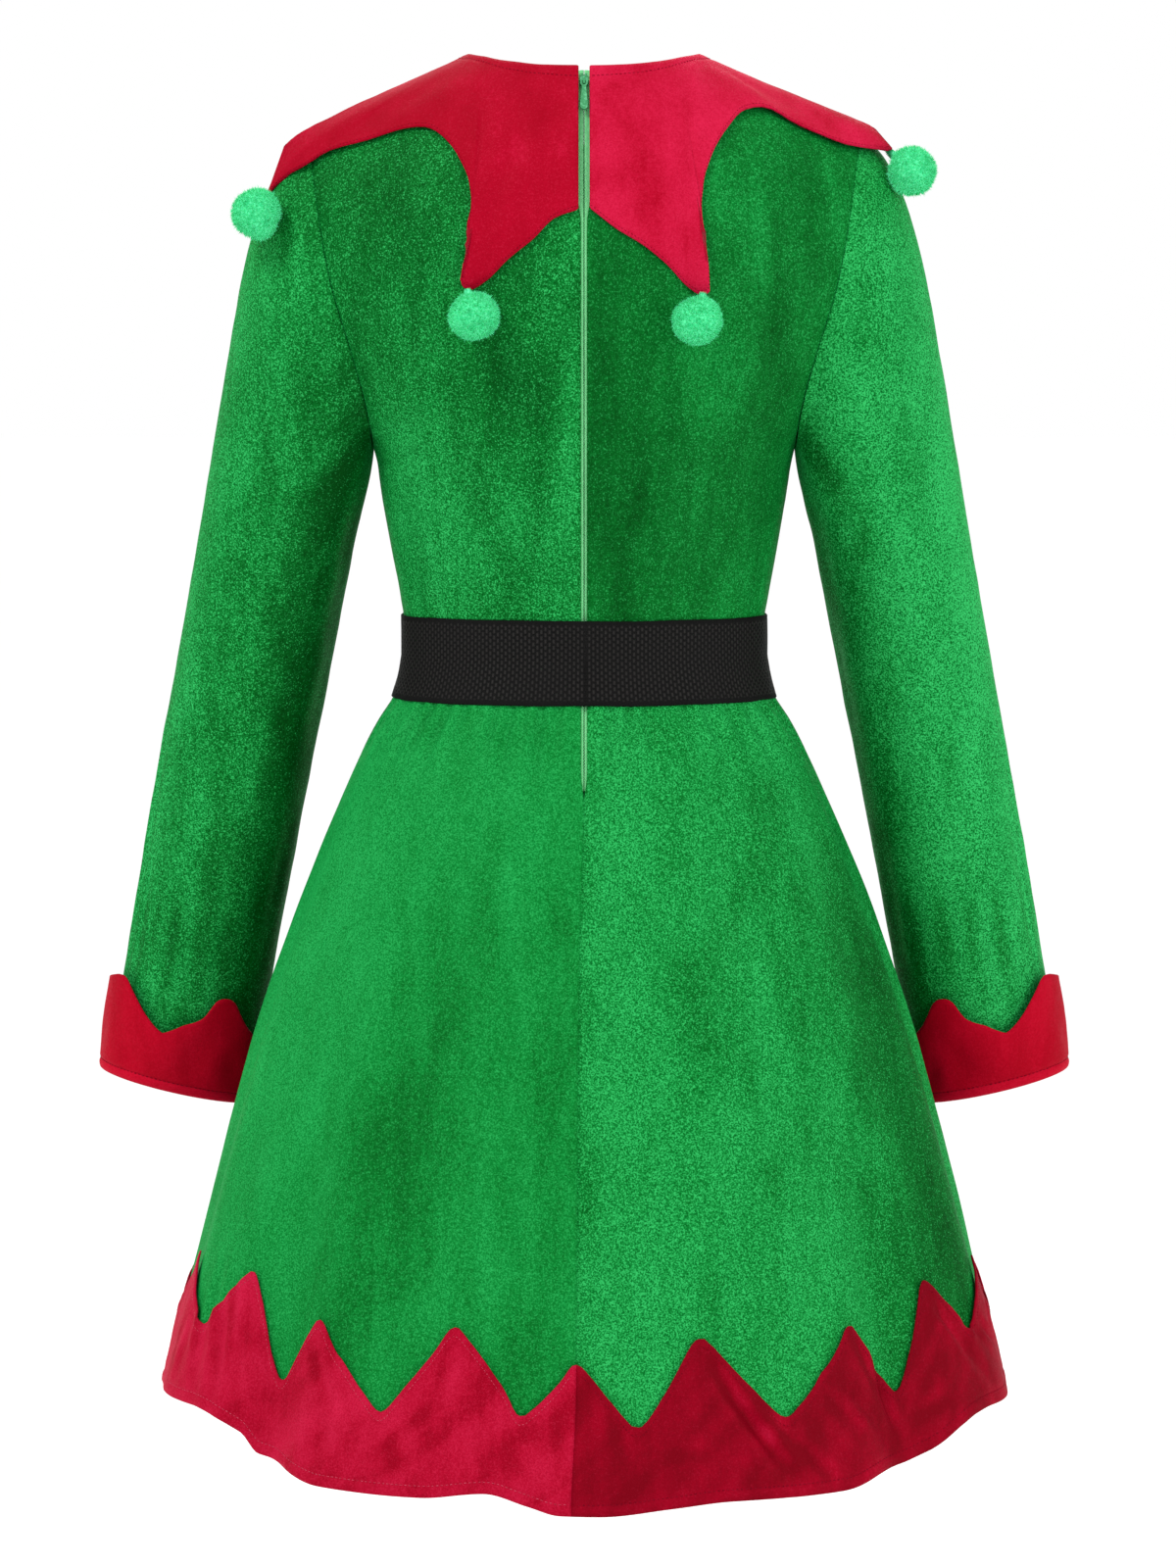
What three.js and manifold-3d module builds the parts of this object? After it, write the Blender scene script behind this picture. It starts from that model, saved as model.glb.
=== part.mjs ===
// Elf costume: a long-sleeved velvet dress with a pointed collar, a zigzag hem, turned-up cuffs,
// a back zip and an elastic belt, in the hollow form that it has when it is worn.
// Millimetres. +Z is up, the wearer faces -Y and the wearer's left is +X.
// The origin is midway between the shoulders, at the height of the middle of the shoulder seams.
import * as THREE from 'three';
import Module from 'manifold-3d';

const { sin, cos, abs, sqrt, pow, min, max, PI, asin, acos, atan2, hypot, exp, sign } = Math;
const DEG = PI / 180;
const V = (x, y, z) => new THREE.Vector3(x, y, z);

// ---------------------------------------------------------------- tables and curves

// A table gives one smooth, monotone curve per named column over its first column.
function table(columns, rows) {
  const key = columns[0];
  const sorted = rows.map((r) => Object.fromEntries(columns.map((c, i) => [c, r[i]]))).sort((a, b) => a[key] - b[key]);
  const x = sorted.map((r) => r[key]);
  const out = { rows: sorted };
  for (const c of columns.slice(1)) {
    const y = sorted.map((r) => r[c]);
    const n = x.length;
    const h = [], d = [], m = new Array(n).fill(0);
    for (let i = 0; i < n - 1; i++) { h.push(x[i + 1] - x[i]); d.push((y[i + 1] - y[i]) / h[i]); }
    for (let i = 1; i < n - 1; i++) {
      if (d[i - 1] * d[i] > 0) {
        const a = 2 * h[i] + h[i - 1], b = h[i] + 2 * h[i - 1];
        m[i] = (a + b) / (a / d[i - 1] + b / d[i]);
      }
    }
    m[0] = d[0]; m[n - 1] = d[n - 2];
    out[c] = (q) => {
      const v = min(max(q, x[0]), x[n - 1]);
      let i = 0;
      while (i < n - 2 && v > x[i + 1]) i++;
      const t = (v - x[i]) / h[i], t2 = t * t, t3 = t2 * t;
      return (2 * t3 - 3 * t2 + 1) * y[i] + (t3 - 2 * t2 + t) * h[i] * m[i] + (3 * t2 - 2 * t3) * y[i + 1] + (t3 - t2) * h[i] * m[i + 1];
    };
  }
  return out;
}

const GAP = 0.3;          // between pieces at a seam
const VELVET = 1.6;       // wall of the green velvet
const UNDERARM = -219;    // height of the underarm point
const WAIST = -346;       // height of the waist seam, under the middle of the belt
const NECK_X = 70.5;      // neck point to centre back, across
const NECK_Z = 23;        // height of the neck point
const NECK_BACK = 57;     // neck ellipse, depth to the nape
const NECK_FRONT = 66;    // neck ellipse, depth to the front
const NECK_RISE = 16;
const SLOPE = 0.457;      // fall of the shoulder line for each mm outwards
const ROUND = 3.2;        // how squarely the shoulders turn over

// Sections of the bodice: half width, half width where the armhole is cut, depths and squareness.
const body = table(['z', 'half', 'edge', 'back', 'front', 'square'], [
  [40, 205, 175, 104, 74, 2.4],
  [0, 203, 172.5, 105, 78, 2.4],
  [-24, 201, 170, 105.5, 82, 2.4],
  [-50, 197, 166, 106, 88, 2.4],
  [-86, 190, 160.5, 106, 96, 2.4],
  [-120, 181, 153.5, 105, 105, 2.4],
  [-155, 167, 143, 103.5, 114, 2.4],
  [-185, 151, 135, 101.5, 119, 2.35],
  [-205, 138.5, 131.5, 100, 121, 2.3],
  [-219, 130.6, 130.6, 98.5, 121, 2.25],
  [-250, 125.2, 125.2, 93, 117, 2.15],
  [-280, 119.9, 119.9, 86.5, 109, 2.1],
  [-310, 114.6, 114.6, 80, 100, 2.03],
  [-325, 112.3, 112.3, 77.5, 96.5, 2],
  [-346, 112.3, 112.3, 77, 95.5, 2],
]);
// Shoulder line beyond the straight part, where it turns down over the sleeve head.
const head = table(['x', 'z'], [[150, -13.3], [165, -20.4], [172, -24], [182, -33], [189, -44], [194, -56], [199, -70]]);

function ridge(x) {
  const a = abs(x);
  if (a < NECK_X) return NECK_Z + NECK_RISE * (1 - (a / NECK_X) ** 2);
  return a < 165 ? NECK_Z - SLOPE * (a - NECK_X) : head.z(a);
}
const across = (x, z) => sqrt(max(0, 1 - pow(min(1, abs(x) / body.half(z)), body.square(z))));
// Depth of the bodice surface at x and z, + on the back and - on the front.
function depth(x, z, face) {
  const t = min(1, max(0, (z - UNDERARM) / (ridge(x) - UNDERARM)));
  return face * (face > 0 ? body.back(z) : body.front(z)) * across(x, z) * sqrt(max(0, 1 - pow(t, ROUND)));
}
// The same surface by x and the angle w over the shoulder line: 90 degrees at the underarm on the back,
// 0 on the shoulder line, -90 on the front.
function yoke(x, w) {
  const z = UNDERARM + (ridge(x) - UNDERARM) * pow(cos(w) ** 2, 1 / ROUND);
  return V(x, (w >= 0 ? body.back(z) : body.front(z)) * across(x, z) * sin(w), z);
}
function yokeAngle(x, z, face) {
  const t = min(1, max(0, (z - UNDERARM) / (ridge(x) - UNDERARM)));
  return face * acos(pow(t, ROUND / 2));
}
function yokeNormal(x, w) {
  const e = 0.4, g = 0.004;
  const a = yoke(x + e, w).sub(yoke(x - e, w)), b = yoke(x, w + g).sub(yoke(x, w - g));
  const n = a.cross(b).normalize();
  return n.z < -0.2 || n.y * sin(w) < -0.2 ? n.negate() : n;
}
// Height at which the neck ellipse meets the shoulders.
function neckHeight(x, face) {
  const y = (face > 0 ? NECK_BACK : NECK_FRONT) * sqrt(max(0, 1 - (x / NECK_X) ** 2));
  let z = 0;
  for (let i = 0; i < 60; i++) {
    const d = (face > 0 ? body.back(z) : body.front(z)) * max(0.001, across(x, z));
    const s = min(1, y / d);
    z = 0.5 * z + 0.5 * (UNDERARM + (ridge(x) - UNDERARM) * pow(1 - s * s, 1 / ROUND));
  }
  return z;
}

// ---------------------------------------------------------------- walls

// A cloth wall: `rows` is a grid of points on its outer face, and the inner face lies `thick` inside it.
// `away(p)` points roughly outwards. `held` names the axis across a seam, so that the end face there stays in the seam's plane.
function wall(rows, { thick, away, closed = false, held = {} }) {
  const nv = rows.length, nu = rows[0].length;
  const at = (j, i) => rows[min(nv - 1, max(0, j))][closed ? (i + nu) % nu : min(nu - 1, max(0, i))];
  const normals = [];
  let turn = 0;
  for (let j = 0; j < nv; j++) {
    normals.push([]);
    for (let i = 0; i < nu; i++) {
      const n = at(j, i + 1).clone().sub(at(j, i - 1)).cross(at(j + 1, i).clone().sub(at(j - 1, i))).normalize();
      turn += n.dot(away(rows[j][i]));
      normals[j].push(n);
    }
  }
  const s = turn < 0 ? -1 : 1;
  const verts = [];
  rows.forEach((r) => r.forEach((p) => verts.push(p)));
  for (let j = 0; j < nv; j++) {
    for (let i = 0; i < nu; i++) {
      const n = normals[j][i].multiplyScalar(s);
      const axes = [i === 0 && held.first, i === nu - 1 && held.last, held.plane && held.plane(rows[j][i])];
      for (const a of axes) if (a) n[a] = 0;
      verts.push(rows[j][i].clone().addScaledVector(n.normalize(), -thick));
    }
  }
  const id = (j, i, inner) => (inner ? nv * nu : 0) + j * nu + (closed ? i % nu : i);
  const tri = [];
  const quad = (a, b, c, d) => tri.push(a, b, c, a, c, d);
  const iEnd = closed ? nu : nu - 1;
  for (let j = 0; j < nv - 1; j++) {
    for (let i = 0; i < iEnd; i++) {
      quad(id(j, i), id(j, i + 1), id(j + 1, i + 1), id(j + 1, i));
      tri.push(id(j, i, 1), id(j + 1, i + 1, 1), id(j, i + 1, 1), id(j, i, 1), id(j + 1, i, 1), id(j + 1, i + 1, 1));
    }
  }
  for (let i = 0; i < iEnd; i++) {
    quad(id(0, i, 1), id(0, i + 1, 1), id(0, i + 1), id(0, i));
    quad(id(nv - 1, i), id(nv - 1, i + 1), id(nv - 1, i + 1, 1), id(nv - 1, i, 1));
  }
  if (!closed) {
    for (let j = 0; j < nv - 1; j++) {
      quad(id(j, 0), id(j + 1, 0), id(j + 1, 0, 1), id(j, 0, 1));
      quad(id(j, nu - 1, 1), id(j + 1, nu - 1, 1), id(j + 1, nu - 1), id(j, nu - 1));
    }
  }
  if (s < 0) for (let k = 0; k < tri.length; k += 3) [tri[k + 1], tri[k + 2]] = [tri[k + 2], tri[k + 1]];
  const g = new THREE.BufferGeometry();
  g.setAttribute('position', new THREE.Float32BufferAttribute(verts.flatMap((p) => [p.x, p.y, p.z]), 3));
  g.setIndex(tri);
  g.computeVertexNormals();
  return g;
}

const costume = new THREE.Group();
costume.name = 'elf_costume';
const velvet = (color) => new THREE.MeshStandardMaterial({ color, roughness: 0.85, metalness: 0, side: THREE.FrontSide });
const green = velvet(0x158a3c), red = velvet(0xb8102c), darkRed = velvet(0xa00a20);
const fuzz = new THREE.MeshStandardMaterial({ color: 0x3fd08a, roughness: 1 });
const elastic = new THREE.MeshStandardMaterial({ color: 0x202020, roughness: 0.75 });
const tape = new THREE.MeshStandardMaterial({ color: 0x66b070, roughness: 0.8 });
const enamel = new THREE.MeshStandardMaterial({ color: 0x7fd09a, roughness: 0.3, metalness: 0.4 });
function add(name, geometry, material, parent = costume) {
  const mesh = new THREE.Mesh(geometry, material);
  mesh.name = name;
  parent.add(mesh);
  return mesh;
}
const outOfBody = (p) => V(p.x, p.y, 0);
const mirror = (rows) => rows.map((r) => r.map((p) => V(-p.x, p.y, p.z)));

// ---------------------------------------------------------------- bodice

// Columns round a quarter of the body, in degrees from the centre line: one falls on the neck point and
// one on the deepest fold of the skirt.
const QUARTER = [0, 10, 20.5, 31.1, 38.5, 46, 53.5, 61, 71, 81, 90];
const ARM_ROWS = 10;      // rows from the underarm to the shoulder, which are also the sleeve's columns
const armRow = (j) => (1 - cos((PI * j) / ARM_ROWS)) / 2;
const BELT_TOP = -321, BELT_FOOT = -371;
const zipHalf = table(['z', 'half'], [[40, 3.9], [-60, 3.9], [-80, 1.8], [-410, 1.8], [-432, GAP / 2], [-900, GAP / 2]]);

const columnX = (s, z) => body.half(z) * sin(s * asin(min(1, body.edge(z) / body.half(z))));
function columnTop(s, face) {
  let z = 0;
  for (let i = 0; i < 60; i++) {
    const x = columnX(s, z);
    z = 0.5 * z + 0.5 * (x < NECK_X - 0.01 ? neckHeight(x, face) : ridge(x));
  }
  return z;
}
// Point of the bodice at column s (0 centre line, 1 side or armhole) and height z.
function bodicePoint(s, z, face, gap = 0) {
  const x = max(gap, columnX(s, z));
  return V(x, depth(x, z, face) + (face * GAP) / 2, z);
}
function bodiceRows(face) {
  const low = [WAIST + GAP / 2, BELT_TOP, -285, -250];
  const rows = [];
  for (const z of low) rows.push(QUARTER.map((a) => bodicePoint(a / 90, z, face, face > 0 ? zipHalf.half(z) : 0)));
  for (let j = 0; j <= ARM_ROWS; j++) {
    rows.push(QUARTER.map((a) => {
      const s = a / 90;
      const z = UNDERARM + armRow(j) * (columnTop(s, face) - UNDERARM);
      return bodicePoint(s, z, face, face > 0 ? zipHalf.half(z) : 0);
    }));
  }
  return rows;
}
// Side and shoulder seams lie in the plane y = 0, so their end faces stay in it.
function bodiceWall(rows, first) {
  return wall(rows, { thick: VELVET, away: outOfBody, held: { first, plane: (p) => abs(p.y) < GAP && 'y' } });
}
const backRows = bodiceRows(1), frontRows = bodiceRows(-1);
add('bodice_back_left', bodiceWall(backRows, 'x'), green);
add('bodice_back_right', bodiceWall(mirror(backRows), 'x'), green);
const wholeFront = frontRows.map((r) => [...r.slice(1).reverse().map((p) => V(-p.x, p.y, p.z)), ...r]);
add('bodice_front', bodiceWall(wholeFront), green);

// ---------------------------------------------------------------- sleeves

// Sections of the left sleeve from the armhole to the wrist: the outer and the underarm side of each
// section, its half depth, and how far forward it lies.
const sleeve = table(['v', 'outX', 'outZ', 'inX', 'inZ', 'deep', 'lie'], [
  [0, 170, -23, 130.6, -219, 56, 0],
  [1, 184.5, -37, 131.1, -224, 56, 0],
  [2, 195.5, -58, 132, -230, 55.5, 0],
  [3, 203.5, -80, 133.4, -237, 54.5, 0],
  [4, 211, -108, 135.6, -246, 53, -1],
  [5, 218.2, -144, 138.8, -258, 51.5, -5],
  [6, 226.2, -188, 142.6, -272, 50, -12],
  [7, 235, -236, 146.6, -292, 48.5, -20],
  [8, 246.6, -299.5, 152.4, -320, 47, -31],
  [9, 262.4, -382, 168.7, -400, 45, -46],
  [10, 281.2, -482, 188.6, -500, 43, -61],
  [11, 303.5, -604, 211.8, -621.7, 41, -80],
]);
const SLEEVE_END = 11;
function sleeveSection(u, v) {
  const k = (1 - cos(u)) / 2;
  const p = V(sleeve.inX(v) + (sleeve.outX(v) - sleeve.inX(v)) * k, sleeve.lie(v) + sleeve.deep(v) * sin(u),
    sleeve.inZ(v) + (sleeve.outZ(v) - sleeve.inZ(v)) * k);
  return p;
}
const shoulderTop = columnTop(1, 1);
// Point of the armhole edge: u is 0 at the underarm, 90 degrees on the back and 180 at the shoulder.
function armhole(u) {
  const z = UNDERARM + ((1 - cos(u)) / 2) * (shoulderTop - UNDERARM);
  const face = sin(u) >= 0 ? 1 : -1;
  const x = columnX(1, z);
  return V(x, abs(sin(u)) < 1e-6 ? 0 : depth(x, z, face), z);
}
function sleevePoint(u, v) {
  const p = sleeveSection(u, v);
  const fade = v < 5 ? (1 - v / 5) ** 2 : 0;
  if (fade > 0) p.add(armhole(u).sub(sleeveSection(u, 0)).multiplyScalar(fade));
  p.x += GAP * 2;
  return p;
}
const sleeveRows = [];
for (const v of [0, 1, 2, 3, 4, 5.5, 7, 8, 9.5, SLEEVE_END]) {
  sleeveRows.push(Array.from({ length: 2 * ARM_ROWS }, (_, i) => sleevePoint((i * PI) / ARM_ROWS, v)));
}
function ringCentre(rows) {
  const mids = rows.map((r) => r.reduce((a, p) => a.add(p), V(0, 0, 0)).divideScalar(r.length));
  return (p) => {
    let best = mids[0];
    for (const m of mids) if (m.distanceTo(p) < best.distanceTo(p)) best = m;
    return p.clone().sub(best);
  };
}
add('sleeve_left', wall(sleeveRows, { thick: VELVET, away: ringCentre(sleeveRows), closed: true }), green);
const rightSleeve = mirror(sleeveRows);
add('sleeve_right', wall(rightSleeve, { thick: VELVET, away: ringCentre(rightSleeve), closed: true }), green);

// ---------------------------------------------------------------- cuffs

// The turned-up cuff goes down from the sleeve end, folds outwards and comes up with a pointed edge.
// `out` is the distance from the sleeve's surface and `down` the distance past its end.
const cuffPath = [
  { out: -1.7, down: 0 }, { out: -1.6, down: 6 }, { out: 0.2, down: 10.2 }, { out: 3, down: 11.2 }, { out: 5.2, down: 8.2 },
];
const CUFF_WALL = 1.8;
// Height of the pointed edge above the fold, by the angle round the cuff from the back towards the body.
const cuffEdge = [
  { at: -84, high: 54 }, { at: -70, high: 60 }, { at: -58, high: 59 }, { at: -46, high: 48 }, { at: -20, high: 33 },
  { at: 6, high: 42 }, { at: 16, high: 58 }, { at: 26, high: 61 }, { at: 36, high: 57 }, { at: 52, high: 42 },
  { at: 70, high: 33 }, { at: 96, high: 44 }, { at: 106, high: 58 }, { at: 116, high: 61 }, { at: 126, high: 57 }, { at: 142, high: 42 },
  { at: 160, high: 33 }, { at: 186, high: 42 }, { at: 196, high: 58 }, { at: 206, high: 61 }, { at: 216, high: 57 }, { at: 232, high: 42 },
  { at: 250, high: 33 }, { at: 266, high: 42 },
];
const arm = (() => {
  const a = V(sleeve.outX(10), sleeve.lie(10), sleeve.outZ(10)).add(V(sleeve.inX(10), sleeve.lie(10), sleeve.inZ(10))).multiplyScalar(0.5);
  const b = V(sleeve.outX(11), sleeve.lie(11), sleeve.outZ(11)).add(V(sleeve.inX(11), sleeve.lie(11), sleeve.inZ(11))).multiplyScalar(0.5);
  const along = b.clone().sub(a).normalize();
  const wide = V(sleeve.outX(11) - sleeve.inX(11), 0, sleeve.outZ(11) - sleeve.inZ(11));
  const half = wide.length() / 2;
  return { end: b, along, wide: wide.normalize(), half, deep: sleeve.deep(11) };
})();
// at: 0 faces the back (+Y), -90 the outer side, 90 the body.
function cuffPoint(at, out, down) {
  const a = at * DEG;
  return arm.end.clone()
    .addScaledVector(arm.wide, -(arm.half + out) * sin(a))
    .add(V(GAP * 2, (arm.deep + out) * cos(a), 0))
    .addScaledVector(arm.along, down + 3 * GAP);
}
const cuffRows = cuffPath.map((c) => cuffEdge.map((e) => cuffPoint(e.at, c.out, c.down)));
for (const f of [1]) {
  cuffRows.push(cuffEdge.map((e) => cuffPoint(e.at, 5.2 + 3 * f, 8.2 + (11.2 - 8.2 - e.high) * f)));
}
// The cuff's shown face looks into the sleeve on its inner leg and outwards on its outer leg.
const cuffAway = (rows) => {
  const c = ringCentre([rows[rows.length - 1]]);
  return (p) => (rows[rows.length - 1].includes(p) ? c(p) : V(0, 0, 0));
};
add('cuff_left', wall(cuffRows, { thick: CUFF_WALL, away: cuffAway(cuffRows), closed: true }), darkRed);
const rightCuff = mirror(cuffRows);
add('cuff_right', wall(rightCuff, { thick: CUFF_WALL, away: cuffAway(rightCuff), closed: true }), darkRed);

// ---------------------------------------------------------------- skirt

// Sections of the skirt: half width, depths behind and before, and squareness.
const skirtSection = table(['z', 'half', 'back', 'front', 'squareBack', 'squareFront'], [
  [-346, 112.3, 77, 95.5, 2, 2],
  [-358.5, 114.6, 80, 98, 2, 2],
  [-371, 118.5, 85, 102, 2, 2],
  [-387, 128, 93, 109, 2.05, 2],
  [-402, 136.4, 99, 115, 2.1, 2],
  [-433, 150.6, 109.5, 124, 2.15, 2],
  [-464, 163.3, 118.5, 132, 2.2, 2],
  [-510, 180.7, 130.5, 142, 2.25, 2],
  [-572, 201.9, 146, 154, 2.3, 2],
  [-634, 219.1, 159, 165, 2.35, 2],
  [-712, 239.6, 175, 178, 2.35, 2.02],
  [-805.6, 263.4, 193, 193, 2.38, 2.05],
  [-850, 274, 200, 200, 2.4, 2.05],
]);
// Height of the hem by the angle round the skirt from centre back, + to the wearer's left.
const hem = table(['at', 'z'], [
  [-180, -838], [-150, -836], [-120, -822], [-90, -804], [-76, -803.6], [-65, -807], [-56, -809], [-50, -813], [-46, -823],
  [-40, -831], [-33, -837], [-18, -839], [-11, -843], [-2, -847.6], [3, -847], [7, -841.5], [12.5, -834], [20, -837],
  [34, -835], [39, -831], [46, -823], [50, -812], [60, -801], [75, -799], [90, -803], [120, -822], [150, -836], [180, -838],
]);
// Largest folds: the angle, how far they push out (+) or in (-) at the hem, their width and where they start.
const folds = [
  { at: 46, out: -18, wide: 6.5, from: 0.15 }, { at: -46, out: -17, wide: 6.5, from: 0.2 },
  { at: 20, out: 4, wide: 9, from: 0.3 }, { at: -22, out: 4, wide: 9, from: 0.25 },
  { at: 68, out: 4, wide: 8, from: 0.3 }, { at: -70, out: 4, wide: 8, from: 0.3 },
  { at: 134, out: -15, wide: 8, from: 0.2 }, { at: -131, out: -14, wide: 8, from: 0.25 },
  { at: 165, out: 6, wide: 9, from: 0.3 }, { at: -160, out: 6, wide: 9, from: 0.3 }, { at: 180, out: -5, wide: 9, from: 0.3 },
];
const turnTo = (a) => ((((a + 180) % 360) + 360) % 360) - 180;
function skirtAt(at, z) {
  const a = at * DEG, s = sin(a), c = cos(a);
  const n = c >= 0 ? skirtSection.squareBack(z) : skirtSection.squareFront(z);
  const d = c >= 0 ? skirtSection.back(z) : skirtSection.front(z);
  const r = pow(pow(abs(s), n) + pow(abs(c), n), -1 / n);
  let x = skirtSection.half(z) * r * s, y = d * r * c;
  const t = (z - WAIST) / (hem.z(turnTo(at)) - WAIST);
  let f = 0;
  for (const k of folds) f += k.out * exp(-((turnTo(at - k.at) / k.wide) ** 2)) * pow(max(0, (t - k.from) / (1 - k.from)), 1.3);
  const l = hypot(x, y);
  return V(x * (1 + f / l), y * (1 + f / l), z);
}
const skirtRowHeights = (at) => {
  const h = hem.z(turnTo(at)) + 0.4;
  return [WAIST - GAP / 2, BELT_FOOT, -387, -410, -450, ...[0.25, 0.5, 0.77, 1].map((f) => -450 + f * (h + 450))];
};
// A centre back column opens for the zip and closes again below it.
function skirtColumn(at) {
  return skirtRowHeights(at).map((z) => {
    if (abs(at) > 1e-6) return skirtAt(at, z);
    return skirtAt((asin(zipHalf.half(z) / skirtSection.half(z)) / DEG), z);
  });
}
const skirtAngles = { back: QUARTER, front: QUARTER.map((a) => 180 - a).reverse() };
const gridOf = (cols) => cols[0].map((_, j) => cols.map((c) => c[j]));
const shiftY = (rows, dy) => rows.map((r) => r.map((p) => V(p.x, p.y + dy, p.z)));
const backSide = (sgn) => shiftY(gridOf(skirtAngles.back.map((a) => {
  const col = skirtColumn(a === 0 ? 0 : sgn * a);
  return a === 0 && sgn < 0 ? col.map((p) => V(-p.x, p.y, p.z)) : col;
})), GAP / 2);
const skirtBackLeft = backSide(1), skirtBackRight = backSide(-1);
const frontAngles = [...skirtAngles.front, ...skirtAngles.front.slice(0, -1).reverse().map((a) => 360 - a)];
const skirtFront = shiftY(gridOf(frontAngles.map((a) => skirtColumn(a))), -GAP / 2);
add('skirt_back_left', wall(skirtBackLeft, { thick: VELVET, away: outOfBody, held: { first: 'x', last: 'y' } }), green);
add('skirt_back_right', wall(skirtBackRight, { thick: VELVET, away: outOfBody, held: { first: 'x', last: 'y' } }), green);
add('skirt_front', wall(skirtFront, { thick: VELVET, away: outOfBody, held: { first: 'y', last: 'y' } }), green);

// ---------------------------------------------------------------- hem trim

// Points and notches of the red hem band: the angle round the skirt and the height above the hem edge.
const trimNodes = [
  { at: -180, high: 96 }, { at: -171, high: 46 }, { at: -161.5, high: 96 }, { at: -152.5, high: 46 }, { at: -142, high: 96 }, { at: -132, high: 46 },
  { at: -122, high: 96 }, { at: -111, high: 46 }, { at: -99, high: 94 }, { at: -87, high: 46 }, { at: -75, high: 90 },
  { at: -63.5, high: 46 }, { at: -54.5, high: 90 }, { at: -47, high: 42 }, { at: -38, high: 95 }, { at: -26, high: 45 }, { at: -15.5, high: 99 }, { at: -7.5, high: 48 },
  { at: 0, high: 91 }, { at: 8, high: 50 }, { at: 17.5, high: 101 }, { at: 26.5, high: 46 }, { at: 38, high: 97 }, { at: 46, high: 44 }, { at: 53, high: 93 },
  { at: 62.5, high: 46 }, { at: 74, high: 90 }, { at: 87, high: 46 }, { at: 99, high: 94 }, { at: 111, high: 46 }, { at: 122, high: 96 },
  { at: 132, high: 46 }, { at: 142, high: 96 }, { at: 152.5, high: 46 }, { at: 161.5, high: 96 }, { at: 171, high: 46 }, { at: 180, high: 96 },
];
function trimHeight(at) {
  const a = turnTo(at);
  let i = 0;
  while (i < trimNodes.length - 2 && a > trimNodes[i + 1].at) i++;
  const p = trimNodes[i], q = trimNodes[i + 1];
  return p.high + ((a - p.at) / (q.at - p.at)) * (q.high - p.high);
}
const TRIM_OFF = 1.3, TRIM_WALL = 1.5;
// The band is made from the skirt's own facets: a point between two of its columns lies on their chord.
function onSkirt(angles, cols, at, high) {
  let i = 0;
  while (i < angles.length - 2 && abs(at) > abs(angles[i + 1]) + 1e-9) i++;
  const k = (at - angles[i]) / (angles[i + 1] - angles[i]);
  const pick = (c) => {
    const n = c.length;
    const low = c[n - 1], up = c[n - 2];
    const l = low.distanceTo(up);
    if (high <= l) return low.clone().lerp(up, high / l);
    return up.clone().lerp(c[n - 3], min(1, (high - l) / up.distanceTo(c[n - 3])));
  };
  return pick(cols[i]).lerp(pick(cols[i + 1]), k);
}
function trimRows(angles, grid, lo, hi) {
  const cols = grid[0].map((_, i) => grid.map((r) => r[i]));
  const high = new Map(angles.map((a) => [a, trimHeight(a)]));
  for (const t of trimNodes.flatMap((n) => [-360, 0, 360].map((k) => ({ at: n.at + k, high: n.high })))) {
    if (t.at < min(lo, hi) - 0.1 || t.at > max(lo, hi) + 0.1) continue;
    const near = angles.find((a) => abs(a - t.at) < 2.2);
    high.set(near === undefined ? t.at : near, t.high);
  }
  const all = [...high.keys()].sort((p, q) => abs(p) - abs(q));
  return [0, 0.5, 1].map((f) => all.map((a) => onSkirt(angles, cols, a, -0.4 + f * high.get(a))));
}
function offset(rows, by, away, held = {}) {
  const nv = rows.length, nu = rows[0].length;
  const at = (j, i) => rows[min(nv - 1, max(0, j))][min(nu - 1, max(0, i))];
  return rows.map((r, j) => r.map((p, i) => {
    const n = at(j, i + 1).clone().sub(at(j, i - 1)).cross(at(j + 1, i).clone().sub(at(j - 1, i))).normalize();
    if (n.dot(away(p)) < 0) n.negate();
    if (i === 0 && held.first) n[held.first] = 0;
    if (i === nu - 1 && held.last) n[held.last] = 0;
    return p.clone().addScaledVector(n.normalize(), by);
  }));
}
for (const [name, angles, grid, lo, hi, held] of [
  ['hem_trim_back_left', skirtAngles.back, skirtBackLeft, 0, 90, { first: 'x', last: 'y' }],
  ['hem_trim_back_right', skirtAngles.back.map((a) => -a), skirtBackRight, 0, -90, { first: 'x', last: 'y' }],
  ['hem_trim_front', frontAngles, skirtFront, 90, 270, { first: 'y', last: 'y' }],
]) {
  const rows = offset(trimRows(angles, grid, lo, hi), TRIM_OFF + TRIM_WALL, outOfBody, held);
  add(name, wall(rows, { thick: TRIM_WALL, away: outOfBody, held }), red);
}

// ---------------------------------------------------------------- belt

const BELT_WALL = 1.5;
const beltAngles = [];
for (const q of [0, 90, 180, 270]) for (const a of (q % 180 === 0 ? QUARTER : QUARTER.map((b) => 90 - b).reverse()).slice(0, -1)) beltAngles.push(q + a);
const beltSection = (z) => (z > WAIST ? { half: body.half(z), back: body.back(z), front: body.front(z) }
  : { half: skirtSection.half(z), back: skirtSection.back(z), front: skirtSection.front(z) });
const beltRows = [BELT_FOOT, WAIST, BELT_TOP].map((z) => beltAngles.map((at) => {
  const s = beltSection(z), a = at * DEG, grow = 0.5 + BELT_WALL;
  return V((s.half + grow) * sin(a), ((cos(a) > 0 ? s.back : s.front) + grow + GAP / 2) * cos(a), z);
}));
add('belt', wall(beltRows, { thick: BELT_WALL, away: outOfBody, closed: true }), elastic);

// ---------------------------------------------------------------- collar

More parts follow.
